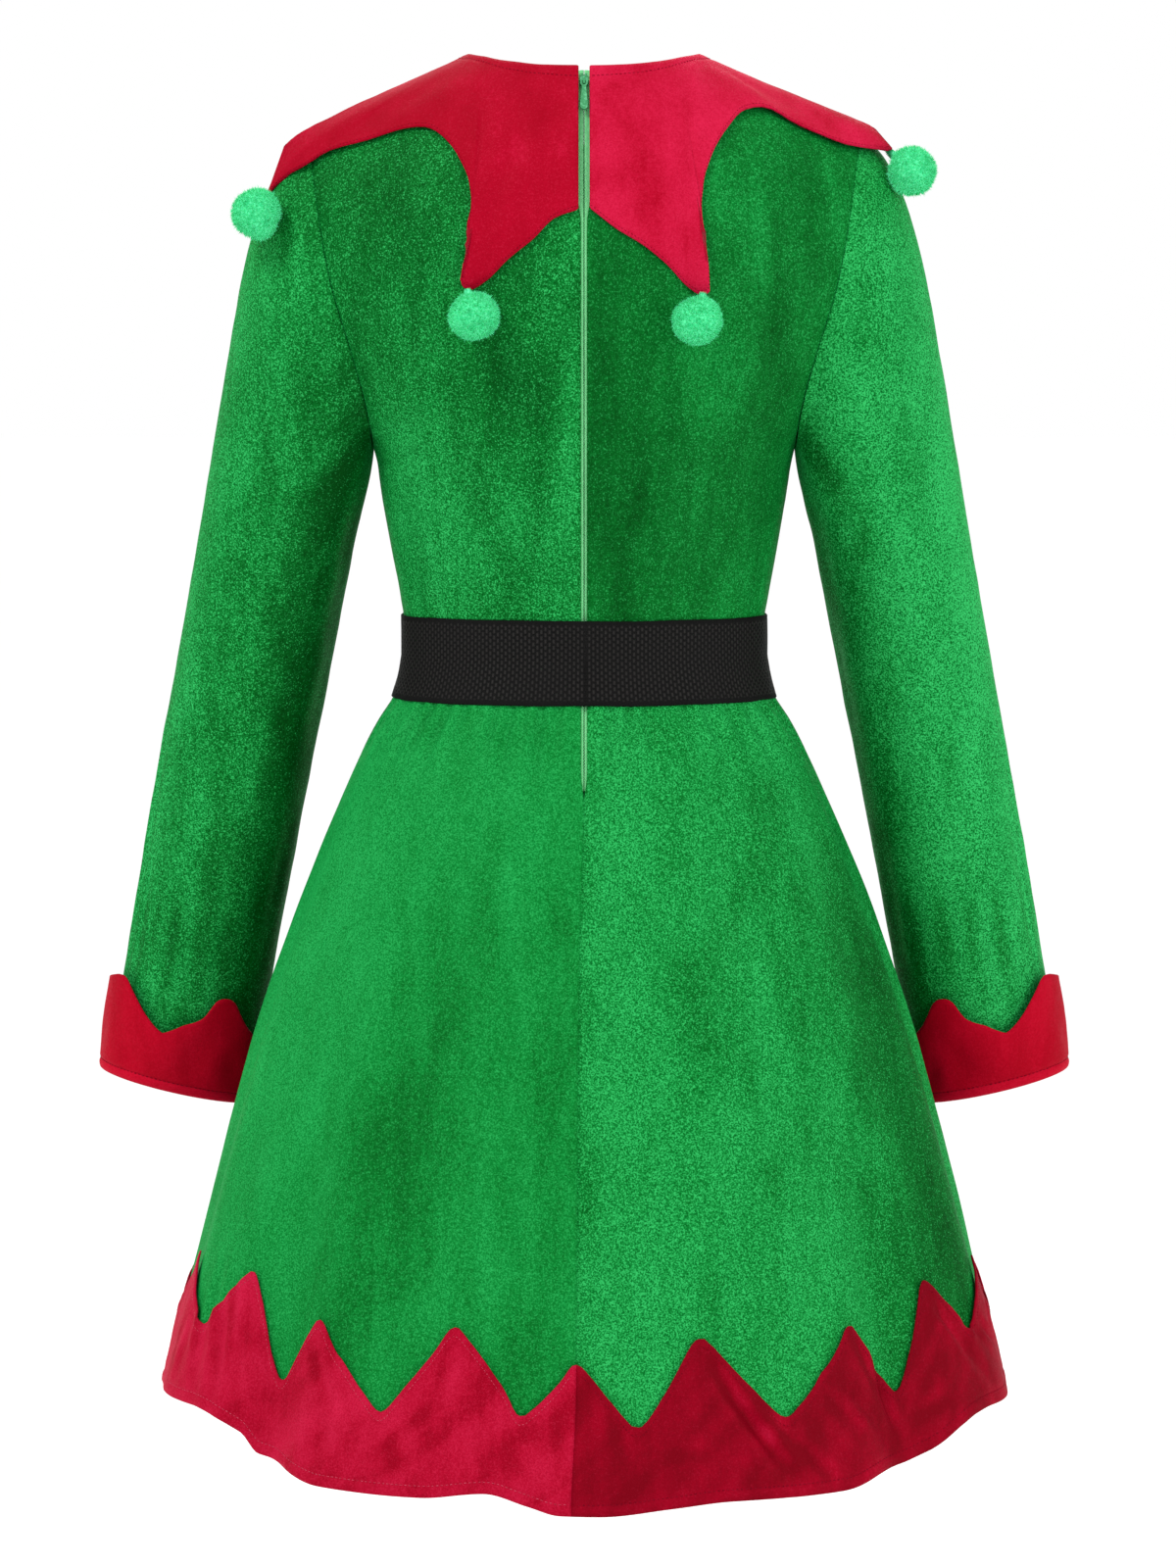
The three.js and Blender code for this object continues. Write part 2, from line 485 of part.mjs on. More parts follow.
// Outline of the collar: `turn` is the angle round the neck from centre back, then the edge point's x and z,
// its face (1 back, -1 front, 0 on the shoulder line) and how far it stands off there.
const collarFront = [
  { turn: 93, x: 172, z: -42, face: -1, lift: 6 }, { turn: 96, x: 152, z: -36, face: -1, lift: 4 }, { turn: 100, x: 131, z: -31, face: -1, lift: 2 },
  { turn: 104, x: 113, z: -28, face: -1, lift: 0.8 }, { turn: 109, x: 98, z: -29, face: -1, lift: 0 }, { turn: 116, x: 87, z: -40, face: -1, lift: 0 },
  { turn: 123, x: 80, z: -56, face: -1, lift: 0 }, { turn: 130, x: 76, z: -76, face: -1, lift: 0 }, { turn: 139, x: 74, z: -104, face: -1, lift: 0 }, { turn: 152, x: 77, z: -140, face: -1, lift: 1 }, { turn: 156, x: 71, z: -145, face: -1, lift: 1 },
  { turn: 163, x: 54, z: -131, face: -1, lift: 0.5 }, { turn: 172, x: 29, z: -110, face: -1, lift: 0 },
  { turn: 180, x: 0, z: -98, face: -1, lift: 0 },
];
const collarBack = {
  left: [
    { turn: 4, x: 3.95, z: -71, face: 1, lift: 0 }, { turn: 10, x: 17.6, z: -76, face: 1, lift: 0 }, { turn: 17, x: 30, z: -88, face: 1, lift: 0 },
    { turn: 24, x: 46, z: -101, face: 1, lift: 0 }, { turn: 30, x: 58, z: -113, face: 1, lift: 0.5 }, { turn: 34.5, x: 67, z: -118.5, face: 1, lift: 1 },
    { turn: 38, x: 73, z: -115.5, face: 1, lift: 1 }, { turn: 44, x: 70.6, z: -100, face: 1, lift: 0.5 }, { turn: 50, x: 68.5, z: -82, face: 1, lift: 0 },
    { turn: 56, x: 67.5, z: -66, face: 1, lift: 0 }, { turn: 62, x: 69, z: -54, face: 1, lift: 0 }, { turn: 67, x: 75, z: -40, face: 1, lift: 0 },
    { turn: 72, x: 83, z: -29, face: 1, lift: 0 }, { turn: 76, x: 96, z: -21.6, face: 1, lift: 0.3 }, { turn: 79.5, x: 113, z: -23.7, face: 1, lift: 0.5 },
    { turn: 82.5, x: 131, z: -29.6, face: 1, lift: 1.5 }, { turn: 85, x: 152, z: -34.5, face: 1, lift: 3 }, { turn: 87.5, x: 172, z: -43, face: 1, lift: 6.5 },
    { turn: 90, x: 187, z: -43.6, face: 0, lift: 6.5 },
  ],
  right: [
    { turn: 4, x: 3.95, z: -70.5, face: 1, lift: 0 }, { turn: 10, x: 20, z: -82.7, face: 1, lift: 0 }, { turn: 17, x: 35, z: -91.7, face: 1, lift: 0 },
    { turn: 24, x: 50, z: -104, face: 1, lift: 0 }, { turn: 30, x: 62, z: -117, face: 1, lift: 0.5 }, { turn: 34.5, x: 69, z: -121.5, face: 1, lift: 1 },
    { turn: 38, x: 75, z: -119.5, face: 1, lift: 1 }, { turn: 44, x: 74.5, z: -105, face: 1, lift: 0.5 }, { turn: 50, x: 71.5, z: -88, face: 1, lift: 0 },
    { turn: 56, x: 70.3, z: -71, face: 1, lift: 0 }, { turn: 62, x: 71.6, z: -55, face: 1, lift: 0 }, { turn: 67, x: 76.8, z: -38, face: 1, lift: 0 },
    { turn: 72, x: 87, z: -21, face: 1, lift: 0.3 }, { turn: 76, x: 97, z: -11.5, face: 1, lift: 1 }, { turn: 79.5, x: 113, z: -12, face: 1, lift: 2 },
    { turn: 82.5, x: 129, z: -20, face: 1, lift: 3 }, { turn: 85, x: 147, z: -28, face: 1, lift: 5 }, { turn: 87.5, x: 164, z: -36, face: 1, lift: 8 },
    { turn: 90, x: 182, z: -33, face: 0, lift: 13 },
  ],
};
const COLLAR_WALL = 2, COLLAR_OFF = 1.6, COLLAR_STEPS = 4;
function collarPoint(row, f) {
  const face = row.turn <= 90 ? 1 : -1;
  const x0 = row.turn === 180 ? 0 : NECK_X * sin(row.turn * DEG);
  const w0 = abs(row.turn - 90) < 1e-6 ? 0 : yokeAngle(x0, neckHeight(x0, face), face);
  const w1 = row.face === 0 ? 0 : yokeAngle(row.x, row.z, row.face);
  // The neck edge of the back column stops at the zip.
  const xn = row.turn === 4 ? row.x : x0;
  const x = xn + (row.x - xn) * f, w = w0 + (w1 - w0) * f;
  const n = yokeNormal(max(0.5, x), w);
  if (x < 0.5) n.x = 0;
  return yoke(x, w).addScaledVector(n.normalize(), COLLAR_OFF + COLLAR_WALL + row.lift * f * f);
}
function collarSide(rows, sgn) {
  const cols = rows.map((r) => Array.from({ length: COLLAR_STEPS + 1 }, (_, k) => collarPoint(r, k / COLLAR_STEPS)));
  return cols.map((c) => c.map((p) => V(sgn * p.x, p.y, p.z)));
}
const front = { left: collarFront, right: collarFront };
const leftCols = collarSide([...collarBack.left, ...front.left], 1);
const rightCols = collarSide([...collarBack.right, ...front.right], -1).slice(0, -1).reverse();
const collarGrid = gridOf([...leftCols, ...rightCols]);
add('collar', wall(collarGrid, { thick: COLLAR_WALL, away: (p) => V(p.x, p.y, 60), held: { first: 'x', last: 'x' } }), red);

// ---------------------------------------------------------------- pompoms

const POMPOM = 15.6;
const pompoms = [
  { name: 'pompom_back_left', x: 66, y: 115.2, z: -135 },
  { name: 'pompom_back_right', x: -68, y: 114.6, z: -137.6 },
  { name: 'pompom_shoulder_left', x: 200.5, y: 48, z: -72.5 },
  { name: 'pompom_shoulder_right', x: -204, y: 26, z: -47 },
  { name: 'pompom_front_left', x: 74, y: -124, z: -161 },
  { name: 'pompom_front_right', x: -74, y: -124, z: -161 },
];
for (const p of pompoms) {
  const ball = add(p.name, new THREE.SphereGeometry(POMPOM, 14, 10), fuzz);
  ball.position.set(p.x, p.y, p.z);
}

// ---------------------------------------------------------------- zip

const TAPE_WALL = 0.9, TAPE_IN = 2.3, TAPE_WIDE = 11, ZIP_TOP = 15.4, ZIP_FOOT = -421;
const backLine = (z) => (z > WAIST ? depth(0, min(z, 20), 1) : skirtAt(0, z).y);
const tapeHeights = [ZIP_TOP, 7, 0, -8, -18, ...backRows.map((r) => r[0].z).filter((z) => z < -22).reverse(), BELT_FOOT, -387, -410, ZIP_FOOT];
function tapeRows(sgn) {
  return tapeHeights.map((z) => [0.2, TAPE_WIDE].map((x) => {
    const dz = 1.5, y = backLine(z) + GAP / 2, slope = (backLine(z + dz) - backLine(z - dz)) / (2 * dz);
    const n = V(0, 1, -slope).normalize();
    const fall = (x * x) / 360;
    return V(sgn * x, y - fall, z).addScaledVector(n, -TAPE_IN);
  }));
}
for (const [name, sgn] of [['zip_tape_left', 1], ['zip_tape_right', -1]]) {
  add(name, wall(tapeRows(sgn), { thick: TAPE_WALL, away: (p) => V(0, 1, 0), held: { first: 'x', last: 'x' } }), tape);
}

const manifold = await Module();
manifold.setup();
const { Manifold, Mesh } = manifold;
function toSolid(geometry) {
  const g = geometry.index ? geometry.toNonIndexed() : geometry;
  const p = g.attributes.position, ids = new Map(), vert = [], tri = [];
  for (let i = 0; i < p.count; i++) {
    const key = [p.getX(i), p.getY(i), p.getZ(i)].map((c) => c.toFixed(5)).join();
    if (!ids.has(key)) { ids.set(key, ids.size); vert.push(p.getX(i), p.getY(i), p.getZ(i)); }
    tri.push(ids.get(key));
  }
  const keep = [];
  for (let i = 0; i < tri.length; i += 3) if (tri[i] !== tri[i + 1] && tri[i + 1] !== tri[i + 2] && tri[i] !== tri[i + 2]) keep.push(tri[i], tri[i + 1], tri[i + 2]);
  return new Manifold(new Mesh({ numProp: 3, vertProperties: new Float32Array(vert), triVerts: new Uint32Array(keep) }));
}
function toGeometry(solid) {
  const m = solid.getMesh();
  const g = new THREE.BufferGeometry();
  const pos = [];
  for (let i = 0; i < m.vertProperties.length; i += m.numProp) pos.push(m.vertProperties[i], m.vertProperties[i + 1], m.vertProperties[i + 2]);
  g.setAttribute('position', new THREE.Float32BufferAttribute(pos, 3));
  g.setIndex([...m.triVerts]);
  g.computeVertexNormals();
  return g;
}

// The slider's own frame: X across, Y out of the cloth, Z up along the zip.
const SLIDER_Z = 6.5;
const sliderSlope = atan2(backLine(SLIDER_Z - 4) - backLine(SLIDER_Z + 4), 8);
const zip = new THREE.Group();
zip.position.set(0, backLine(SLIDER_Z), SLIDER_Z);
zip.rotation.x = sliderSlope;
costume.add(zip);

const FLOOR = -1.5, DECK = 0.6;               // the slider's body between these depths
const sliderShape = new THREE.Shape();
sliderShape.moveTo(-1.7, -3.6); sliderShape.lineTo(1.7, -3.6); sliderShape.lineTo(2.5, 1.2); sliderShape.lineTo(2.5, 3.4);
sliderShape.lineTo(1.7, 3.9); sliderShape.lineTo(-1.7, 3.9); sliderShape.lineTo(-2.5, 3.4); sliderShape.lineTo(-2.5, 1.2);
const sliderBody = new THREE.ExtrudeGeometry(sliderShape, { depth: DECK - FLOOR, bevelEnabled: false });
sliderBody.rotateX(PI / 2);
sliderBody.translate(0, DECK, 0);
const bridgeShape = new THREE.Shape();        // drawn in Z and Y
bridgeShape.moveTo(-2.9, DECK - 0.3); bridgeShape.lineTo(-2.9, DECK + 1.7); bridgeShape.lineTo(-2.2, DECK + 2.5); bridgeShape.lineTo(2.2, DECK + 2.5);
bridgeShape.lineTo(2.9, DECK + 1.7); bridgeShape.lineTo(2.9, DECK - 0.3); bridgeShape.lineTo(2.1, DECK - 0.3); bridgeShape.lineTo(2.1, DECK + 1.7);
bridgeShape.lineTo(-2.1, DECK + 1.7); bridgeShape.lineTo(-2.1, DECK - 0.3);
const bridge = new THREE.ExtrudeGeometry(bridgeShape, { depth: 1.4, bevelEnabled: false });
bridge.rotateY(-PI / 2);
bridge.translate(0.7, 0, 0);
add('zip_slider', toGeometry(toSolid(sliderBody).add(toSolid(bridge))), enamel, zip);

// The pull tab: a loop round the slider's bridge and a drop-shaped blade, hinged across under the bridge.
const HINGE_Y = DECK + 0.85;
const tabShape = new THREE.Shape();
tabShape.moveTo(-1.5, 0.5);
tabShape.lineTo(1.5, 0.5);
tabShape.absarc(1.5, -0.2, 0.7, PI / 2, 0, true);
tabShape.lineTo(2.2, -3.2);
tabShape.lineTo(1.3, -4.9);
tabShape.lineTo(1.5, -10);
tabShape.lineTo(2.2, -17.5);
for (let i = 0; i <= 6; i++) tabShape.lineTo(2.2 * cos((i * PI) / 6), -21.3 - 2.2 * sin((i * PI) / 6));
tabShape.lineTo(-2.2, -17.5);
tabShape.lineTo(-1.5, -10);
tabShape.lineTo(-1.3, -4.9);
tabShape.lineTo(-2.2, -3.2);
tabShape.lineTo(-2.2, -0.2);
tabShape.absarc(-1.5, -0.2, 0.7, PI, PI / 2, true);
const eye = new THREE.Path();
eye.moveTo(-1.15, -0.5); eye.lineTo(-1.15, -3.2); eye.lineTo(-0.6, -3.9); eye.lineTo(0.6, -3.9); eye.lineTo(1.15, -3.2); eye.lineTo(1.15, -0.5);
tabShape.holes.push(eye);
const tab = new THREE.ExtrudeGeometry(tabShape, { depth: 1, bevelEnabled: false, curveSegments: 4 });
tab.rotateX(PI / 2);
tab.translate(0, 0.5, 0);
add('zip_pull_tab', tab, enamel, zip).position.set(0, HINGE_Y, 0);

// Crimped stops at the top of each tape.
for (const [name, x] of [['zip_stop_left', 1.15], ['zip_stop_right', -1.15]]) {
  add(name, new THREE.BoxGeometry(1.4, 1.2, 2.4), enamel, zip).position.set(x, -1, 6.1);
}

export default costume;
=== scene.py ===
# Elf costume, the visual model. Sizes are worked out in millimetres, in the part's own frame, and every
# mesh is made in metres: +Z is up, the wearer faces -Y and the wearer's left is +X.
import bpy
import math

import numpy as np
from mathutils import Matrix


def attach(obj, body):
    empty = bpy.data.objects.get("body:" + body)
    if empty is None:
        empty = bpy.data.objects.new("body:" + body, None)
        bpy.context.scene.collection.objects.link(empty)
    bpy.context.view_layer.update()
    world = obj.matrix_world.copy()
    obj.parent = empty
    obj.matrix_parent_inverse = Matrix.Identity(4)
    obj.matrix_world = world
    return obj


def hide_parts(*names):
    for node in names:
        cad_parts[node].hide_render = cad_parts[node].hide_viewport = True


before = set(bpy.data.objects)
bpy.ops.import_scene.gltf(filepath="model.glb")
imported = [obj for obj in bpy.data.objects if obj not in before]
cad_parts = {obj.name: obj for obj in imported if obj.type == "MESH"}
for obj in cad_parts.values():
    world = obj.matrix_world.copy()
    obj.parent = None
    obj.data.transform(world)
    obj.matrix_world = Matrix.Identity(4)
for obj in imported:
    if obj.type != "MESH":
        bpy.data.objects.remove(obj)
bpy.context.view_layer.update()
scene = bpy.context.scene
PI, DEG = math.pi, math.pi / 180

# ---------------------------------------------------------------- camera, floor and light

camera_data = bpy.data.cameras.new("camera")
camera = bpy.data.objects.new("camera", camera_data)
scene.collection.objects.link(camera)
camera_data.sensor_width = 36
camera_data.lens = 129.15
camera_data.clip_start, camera_data.clip_end = 0.05, 200
EYE, AIM = np.array([-0.0024, 3.5, -0.110]), np.array([-0.0024, 0.0, -0.427])


def aim(obj, eye, target):
    from mathutils import Vector

    obj.location = Vector(eye)
    obj.rotation_mode = "QUATERNION"
    obj.rotation_quaternion = (Vector(target) - Vector(eye)).to_track_quat("-Z", "Y")


aim(camera, EYE, AIM)
scene.camera = camera
scene.view_settings.view_transform = "Standard"
scene.view_settings.look = "None"

# ---------------------------------------------------------------- tables, noise and creases


class Table:
    """One smooth, monotone curve per named column over the first column."""

    def __init__(self, columns, rows):
        a = np.array(sorted(rows, key=lambda r: r[0]), float)
        self.x = a[:, 0]
        self.h = np.diff(self.x)
        self.y, self.m = {}, {}
        for i, c in enumerate(columns[1:], 1):
            y = a[:, i]
            d = np.diff(y) / self.h
            m = np.zeros(len(y))
            for k in range(1, len(y) - 1):
                if d[k - 1] * d[k] > 0:
                    p, q = 2 * self.h[k] + self.h[k - 1], self.h[k] + 2 * self.h[k - 1]
                    m[k] = (p + q) / (p / d[k - 1] + q / d[k])
            m[0], m[-1] = d[0], d[-1]
            self.y[c], self.m[c] = y, m

    def __call__(self, c, q):
        q = np.clip(np.asarray(q, float), self.x[0], self.x[-1])
        i = np.clip(np.searchsorted(self.x, q, side="right") - 1, 0, len(self.x) - 2)
        t = (q - self.x[i]) / self.h[i]
        t2, t3, y, m, h = t * t, t * t * t, self.y[c], self.m[c], self.h[i]
        return (
            (2 * t3 - 3 * t2 + 1) * y[i]
            + (t3 - 2 * t2 + t) * h * m[i]
            + (3 * t2 - 2 * t3) * y[i + 1]
            + (t3 - t2) * h * m[i + 1]
        )


def ripple(p, q, size, seed, octaves=2):
    """Smooth unevenness from -1 to 1 over cloth distances p and q, in cells of that size."""
    out, norm = 0.0, 0.0
    for o in range(octaves):
        r = np.random.RandomState(seed + 31 * o)
        grid = r.uniform(-1, 1, (64, 64))
        s = size / 2**o
        x, y = (np.asarray(p) / s) % 64, (np.asarray(q) / s) % 64
        i, j = np.floor(x).astype(int), np.floor(y).astype(int)
        u, v = x - i, y - j
        u, v = u * u * (3 - 2 * u), v * v * (3 - 2 * v)
        a, b = grid[i % 64, j % 64], grid[(i + 1) % 64, j % 64]
        c, d = grid[i % 64, (j + 1) % 64], grid[(i + 1) % 64, (j + 1) % 64]
        w = 0.5**o
        out = out + w * ((a * (1 - u) + b * u) * (1 - v) + (c * (1 - u) + d * u) * v)
        norm += w
    return out / norm


def creases(p, q, listed):
    """Height over the cloth, in mm, of listed creases: each runs from (p0, q0) to (p1, q1) with a width, a height (- is
    a trough) and a bow to one side. A trough has a low soft ridge along each side."""
    out = np.zeros(np.broadcast(p, q).shape)
    for p0, q0, p1, q1, width, height, bow in listed:
        dp, dq = p1 - p0, q1 - q0
        long = math.hypot(dp, dq)
        ex, ey = dp / long, dq / long
        along = ((p - p0) * ex + (q - q0) * ey) / long
        side = -(p - p0) * ey + (q - q0) * ex
        side = side - bow * 4 * np.clip(along, 0, 1) * (1 - np.clip(along, 0, 1))
        # Deepest at a third of its length, fading out at both ends.
        ends = np.clip(along + 0.12, 0, 1.24) / 1.24
        fade = np.where((along > -0.12) & (along < 1.12), np.sin(PI * ends**0.8) ** 1.3, 0)
        s = side / width
        out = out + height * fade * (np.exp(-s * s) - 0.35 * np.exp(-((np.abs(s) - 1.9) ** 2) / 0.8))
    return out


# ---------------------------------------------------------------- materials


def node(nt, kind, inputs=None, **props):
    n = nt.nodes.new(kind)
    for k, v in props.items():
        setattr(n, k, v)
    for k, v in (inputs or {}).items():
        s = n.inputs[k]
        if isinstance(v, bpy.types.NodeSocket):
            nt.links.new(v, s)
        else:
            s.default_value = v
    return n


def maths(nt, op, a, b=0.0, clamp=False):
    n = node(nt, "ShaderNodeMath", {0: a, 1: b}, operation=op)
    n.use_clamp = clamp
    return n.outputs[0]


def mixed(nt, fac, a, b, kind="MIX"):
    n = nt.nodes.new("ShaderNodeMix")
    n.data_type, n.blend_type = "RGBA", kind
    for k, v in ((0, fac), (6, a), (7, b)):
        if isinstance(v, bpy.types.NodeSocket):
            nt.links.new(v, n.inputs[k])
        else:
            n.inputs[k].default_value = v
    return n.outputs[2]


def spread(nt, v, a, b, c=0.0, d=1.0):
    n = node(nt, "ShaderNodeMapRange", {0: v, 1: a, 2: b, 3: c, 4: d})
    n.clamp = True
    return n.outputs[0]


def rgb(h, k=1.0):
    """Linear colour of a hex colour."""
    c = [int(h[i : i + 2], 16) / 255 for i in (0, 2, 4)]
    return tuple(k * (v / 12.92 if v <= 0.04045 else ((v + 0.055) / 1.055) ** 2.4) for v in c) + (1.0,)


def new_material(name):
    m = bpy.data.materials.new(name)
    m.use_nodes = True
    nt = m.node_tree
    nt.nodes.clear()
    out = nt.nodes.new("ShaderNodeOutputMaterial")
    bsdf = nt.nodes.new("ShaderNodeBsdfPrincipled")
    nt.links.new(bsdf.outputs[0], out.inputs[0])
    return m, nt, bsdf


def coords(nt, scale=(1, 1, 1)):
    t = nt.nodes.new("ShaderNodeTexCoord").outputs["Object"]
    if scale == (1, 1, 1):
        return t
    return node(nt, "ShaderNodeMapping", {"Vector": t, "Scale": scale}).outputs[0]


def velvet(name, dark, mid, light, spark, amount, sheen, sheen_tint, grain=1050, bump=0.35, tone_gain=1.0, rough=0.62):
    """Crushed velvet: fine bright grains painted into the colour as glints of the pile and dark specks painted as shade
    between them, over random upright streaks and soft patches, with the tone attribute's painted light and shade.
    """
    m, nt, bsdf = new_material(name)
    flat = coords(nt)
    tall = coords(nt, (1, 1, 0.16))
    # tone: a random tone plus the painted light and shade that each piece sets.
    tone = node(nt, "ShaderNodeAttribute", attribute_name="tone").outputs["Fac"]
    streak = node(nt, "ShaderNodeTexNoise", {"Vector": tall, "Scale": 62, "Detail": 4, "Roughness": 0.62}).outputs[0]
    patch = node(nt, "ShaderNodeTexNoise", {"Vector": coords(nt, (1, 1, 0.6)), "Scale": 15, "Detail": 2, "Roughness": 0.55, "Distortion": 0.6}).outputs[0]
    clump = node(nt, "ShaderNodeTexNoise", {"Vector": flat, "Scale": 380, "Detail": 3, "Roughness": 0.75}).outputs[0]
    fine = node(nt, "ShaderNodeTexNoise", {"Vector": flat, "Scale": grain, "Detail": 2, "Roughness": 0.75}).outputs[0]
    t = maths(nt, "MULTIPLY_ADD", maths(nt, "SUBTRACT", streak, 0.5), 0.5)
    t.node.inputs[2].default_value = 0.5
    t = maths(nt, "ADD", t, maths(nt, "MULTIPLY", maths(nt, "SUBTRACT", patch, 0.5), 0.26))
    t = maths(nt, "ADD", t, maths(nt, "MULTIPLY", maths(nt, "SUBTRACT", clump, 0.5), 0.62 if amount > 0.3 else 0.3))
    t = maths(nt, "ADD", t, maths(nt, "MULTIPLY", tone, tone_gain), clamp=True)
    base = mixed(nt, spread(nt, t, 0.15, 0.62), rgb(dark), rgb(mid))
    base = mixed(nt, spread(nt, t, 0.5, 0.95), base, rgb(light))
    # Bright grains painted into the colour as glints of the pile, and dark specks painted as shade between them, each
    # scaled per piece.
    glint_specks = spread(nt, maths(nt, "ADD", fine, maths(nt, "MULTIPLY", maths(nt, "SUBTRACT", t, 0.5), 0.22)), 0.53, 0.66)
    shade_specks = spread(nt, fine, 0.48, 0.36)
    painted_specks = node(nt, "ShaderNodeAttribute", attribute_name="painted_specks").outputs["Fac"]
    shade_specks = maths(nt, "MULTIPLY", shade_specks, painted_specks)
    glint_specks = maths(nt, "MULTIPLY", glint_specks, painted_specks)
    base = mixed(nt, maths(nt, "MULTIPLY", shade_specks, 0.72 if amount > 0.3 else 0.2), base, rgb(dark, 0.8))
    base = mixed(nt, maths(nt, "MULTIPLY", glint_specks, amount, clamp=True), base, rgb(spark))
    nt.links.new(base, bsdf.inputs["Base Color"])
    nt.links.new(spread(nt, fine, 0.3, 0.7, rough + 0.12, rough - 0.14), bsdf.inputs["Roughness"])
    bsdf.inputs["Specular IOR Level"].default_value = 0.03
    bsdf.inputs["Sheen Weight"].default_value = sheen
    bsdf.inputs["Sheen Roughness"].default_value = 0.42
    bsdf.inputs["Sheen Tint"].default_value = rgb(sheen_tint)
    b = node(nt, "ShaderNodeBump", {"Height": maths(nt, "ADD", fine, maths(nt, "MULTIPLY", clump, 0.8)), "Strength": bump, "Distance": 0.0006})
    nt.links.new(b.outputs[0], bsdf.inputs["Normal"])
    return m


def backing(name, color, dark):
    """The plain knitted back of the velvet."""
    m, nt, bsdf = new_material(name)
    knit = node(nt, "ShaderNodeTexNoise", {"Vector": coords(nt, (1, 1, 0.5)), "Scale": 900, "Detail": 2}).outputs[0]
    cloud = node(nt, "ShaderNodeTexNoise", {"Vector": coords(nt), "Scale": 25, "Detail": 2}).outputs[0]
    f = maths(nt, "ADD", maths(nt, "MULTIPLY", knit, 0.7), maths(nt, "MULTIPLY", cloud, 0.3))
    nt.links.new(mixed(nt, spread(nt, f, 0.35, 0.65), rgb(dark), rgb(color)), bsdf.inputs["Base Color"])
    bsdf.inputs["Roughness"].default_value = 0.9
    bsdf.inputs["Specular IOR Level"].default_value = 0.03
    bsdf.inputs["Sheen Weight"].default_value = 0.06
    b = node(nt, "ShaderNodeBump", {"Height": knit, "Strength": 0.3, "Distance": 0.0004})
    nt.links.new(b.outputs[0], bsdf.inputs["Normal"])
    return m


GREEN = velvet("green_velvet", "003C0C", "046C24", "0C8438", "3EC86E", 0.62, 0.16, "18C860", grain=960)
GREEN_BACK = backing("green_backing", "127A38", "0A5A26")
RED = velvet("red_velvet", "6E0010", "98001E", "B41236", "C83054", 0.20, 0.22, "F02850", grain=1000, bump=0.3)
RED_CUFF = velvet("red_velvet_cuff", "8C0012", "A0001A", "B40624", "C41C3C", 0.12, 0.20, "F01848", grain=800, bump=0.3)
RED_COLLAR = velvet("red_velvet_collar", "8E0016", "A40222", "C61A42", "D03458", 0.14, 0.20, "F82850", grain=900, bump=0.22)
RED_BACK = backing("red_backing", "A01028", "800818")


def elastic():
    """Ribbed woven elastic: upright dashes in staggered columns, from the cloth distances in the UV map."""
    m, nt, bsdf = new_material("black_elastic")
    uv = nt.nodes.new("ShaderNodeUVMap")
    uv.uv_map = "cloth"
    sep = node(nt, "ShaderNodeSeparateXYZ", {0: uv.outputs[0]})
    u, v = sep.outputs[0], sep.outputs[1]
    col = maths(nt, "DIVIDE", u, 0.0025)
    ci = maths(nt, "FLOOR", col)
    cf = maths(nt, "ABSOLUTE", maths(nt, "SUBTRACT", maths(nt, "SUBTRACT", col, ci), 0.5))
    row = maths(nt, "ADD", maths(nt, "DIVIDE", v, 0.0038), maths(nt, "MULTIPLY", maths(nt, "MODULO", ci, 2.0), 0.5))
    rf = maths(nt, "ABSOLUTE", maths(nt, "SUBTRACT", maths(nt, "FRACT", row), 0.5))
    dash = maths(nt, "MULTIPLY", spread(nt, cf, 0.40, 0.16), spread(nt, rf, 0.40, 0.24))
    # The woven edges and the joined place at centre back are plain.
    edge = maths(nt, "MULTIPLY", spread(nt, v, 0.0018, 0.0032), spread(nt, v, 0.0484, 0.0472))
    dash = maths(nt, "MULTIPLY", dash, edge)
    thread = node(nt, "ShaderNodeTexNoise", {"Vector": coords(nt, (1, 1, 3)), "Scale": 1400, "Detail": 2}).outputs[0]
    cloud = node(nt, "ShaderNodeTexNoise", {"Vector": coords(nt), "Scale": 30, "Detail": 2}).outputs[0]
    base = mixed(nt, dash, rgb("040404"), rgb("201E1D"))
    base = mixed(nt, spread(nt, thread, 0.5, 0.75, 0, 0.35), base, rgb("262423"))
    base = mixed(nt, spread(nt, cloud, 0.4, 0.7, 0, 0.25), base, rgb("100F0F"))
    nt.links.new(base, bsdf.inputs["Base Color"])
    nt.links.new(spread(nt, dash, 0, 1, 0.82, 0.6), bsdf.inputs["Roughness"])
    bsdf.inputs["Specular IOR Level"].default_value = 0.12
    h = maths(nt, "ADD", dash, maths(nt, "MULTIPLY", thread, 0.25))
    nt.links.new(node(nt, "ShaderNodeBump", {"Height": h, "Strength": 0.8, "Distance": 0.0007}).outputs[0], bsdf.inputs["Normal"])
    return m


def fluff():
    m, nt, bsdf = new_material("pompom_fluff")
    tone = node(nt, "ShaderNodeAttribute", attribute_name="tone").outputs["Fac"]
    n = node(nt, "ShaderNodeTexNoise", {"Vector": coords(nt), "Scale": 700, "Detail": 3}).outputs[0]
    # The tone attribute: painted shade on the core and at the roots of the blades, painted light towards their tips,
    # and a random shade per blade.
    base = mixed(nt, tone, rgb("20C276"), rgb("74FFC2"))
    base = mixed(nt, spread(nt, n, 0.45, 0.65, 0, 0.5), base, rgb("80FFC4"))
    tuft = node(nt, "ShaderNodeTexNoise", {"Vector": coords(nt), "Scale": 240, "Detail": 2}).outputs[0]
    base = mixed(nt, spread(nt, tuft, 0.5, 0.7, 0, 0.55), base, rgb("18B468"))
    nt.links.new(base, bsdf.inputs["Base Color"])
    bsdf.inputs["Roughness"].default_value = 0.9
    bsdf.inputs["Specular IOR Level"].default_value = 0.05
    bsdf.inputs["Sheen Weight"].default_value = 0.25
    bsdf.inputs["Sheen Roughness"].default_value = 0.5
    bsdf.inputs["Sheen Tint"].default_value = rgb("A8FFD0")
    return m


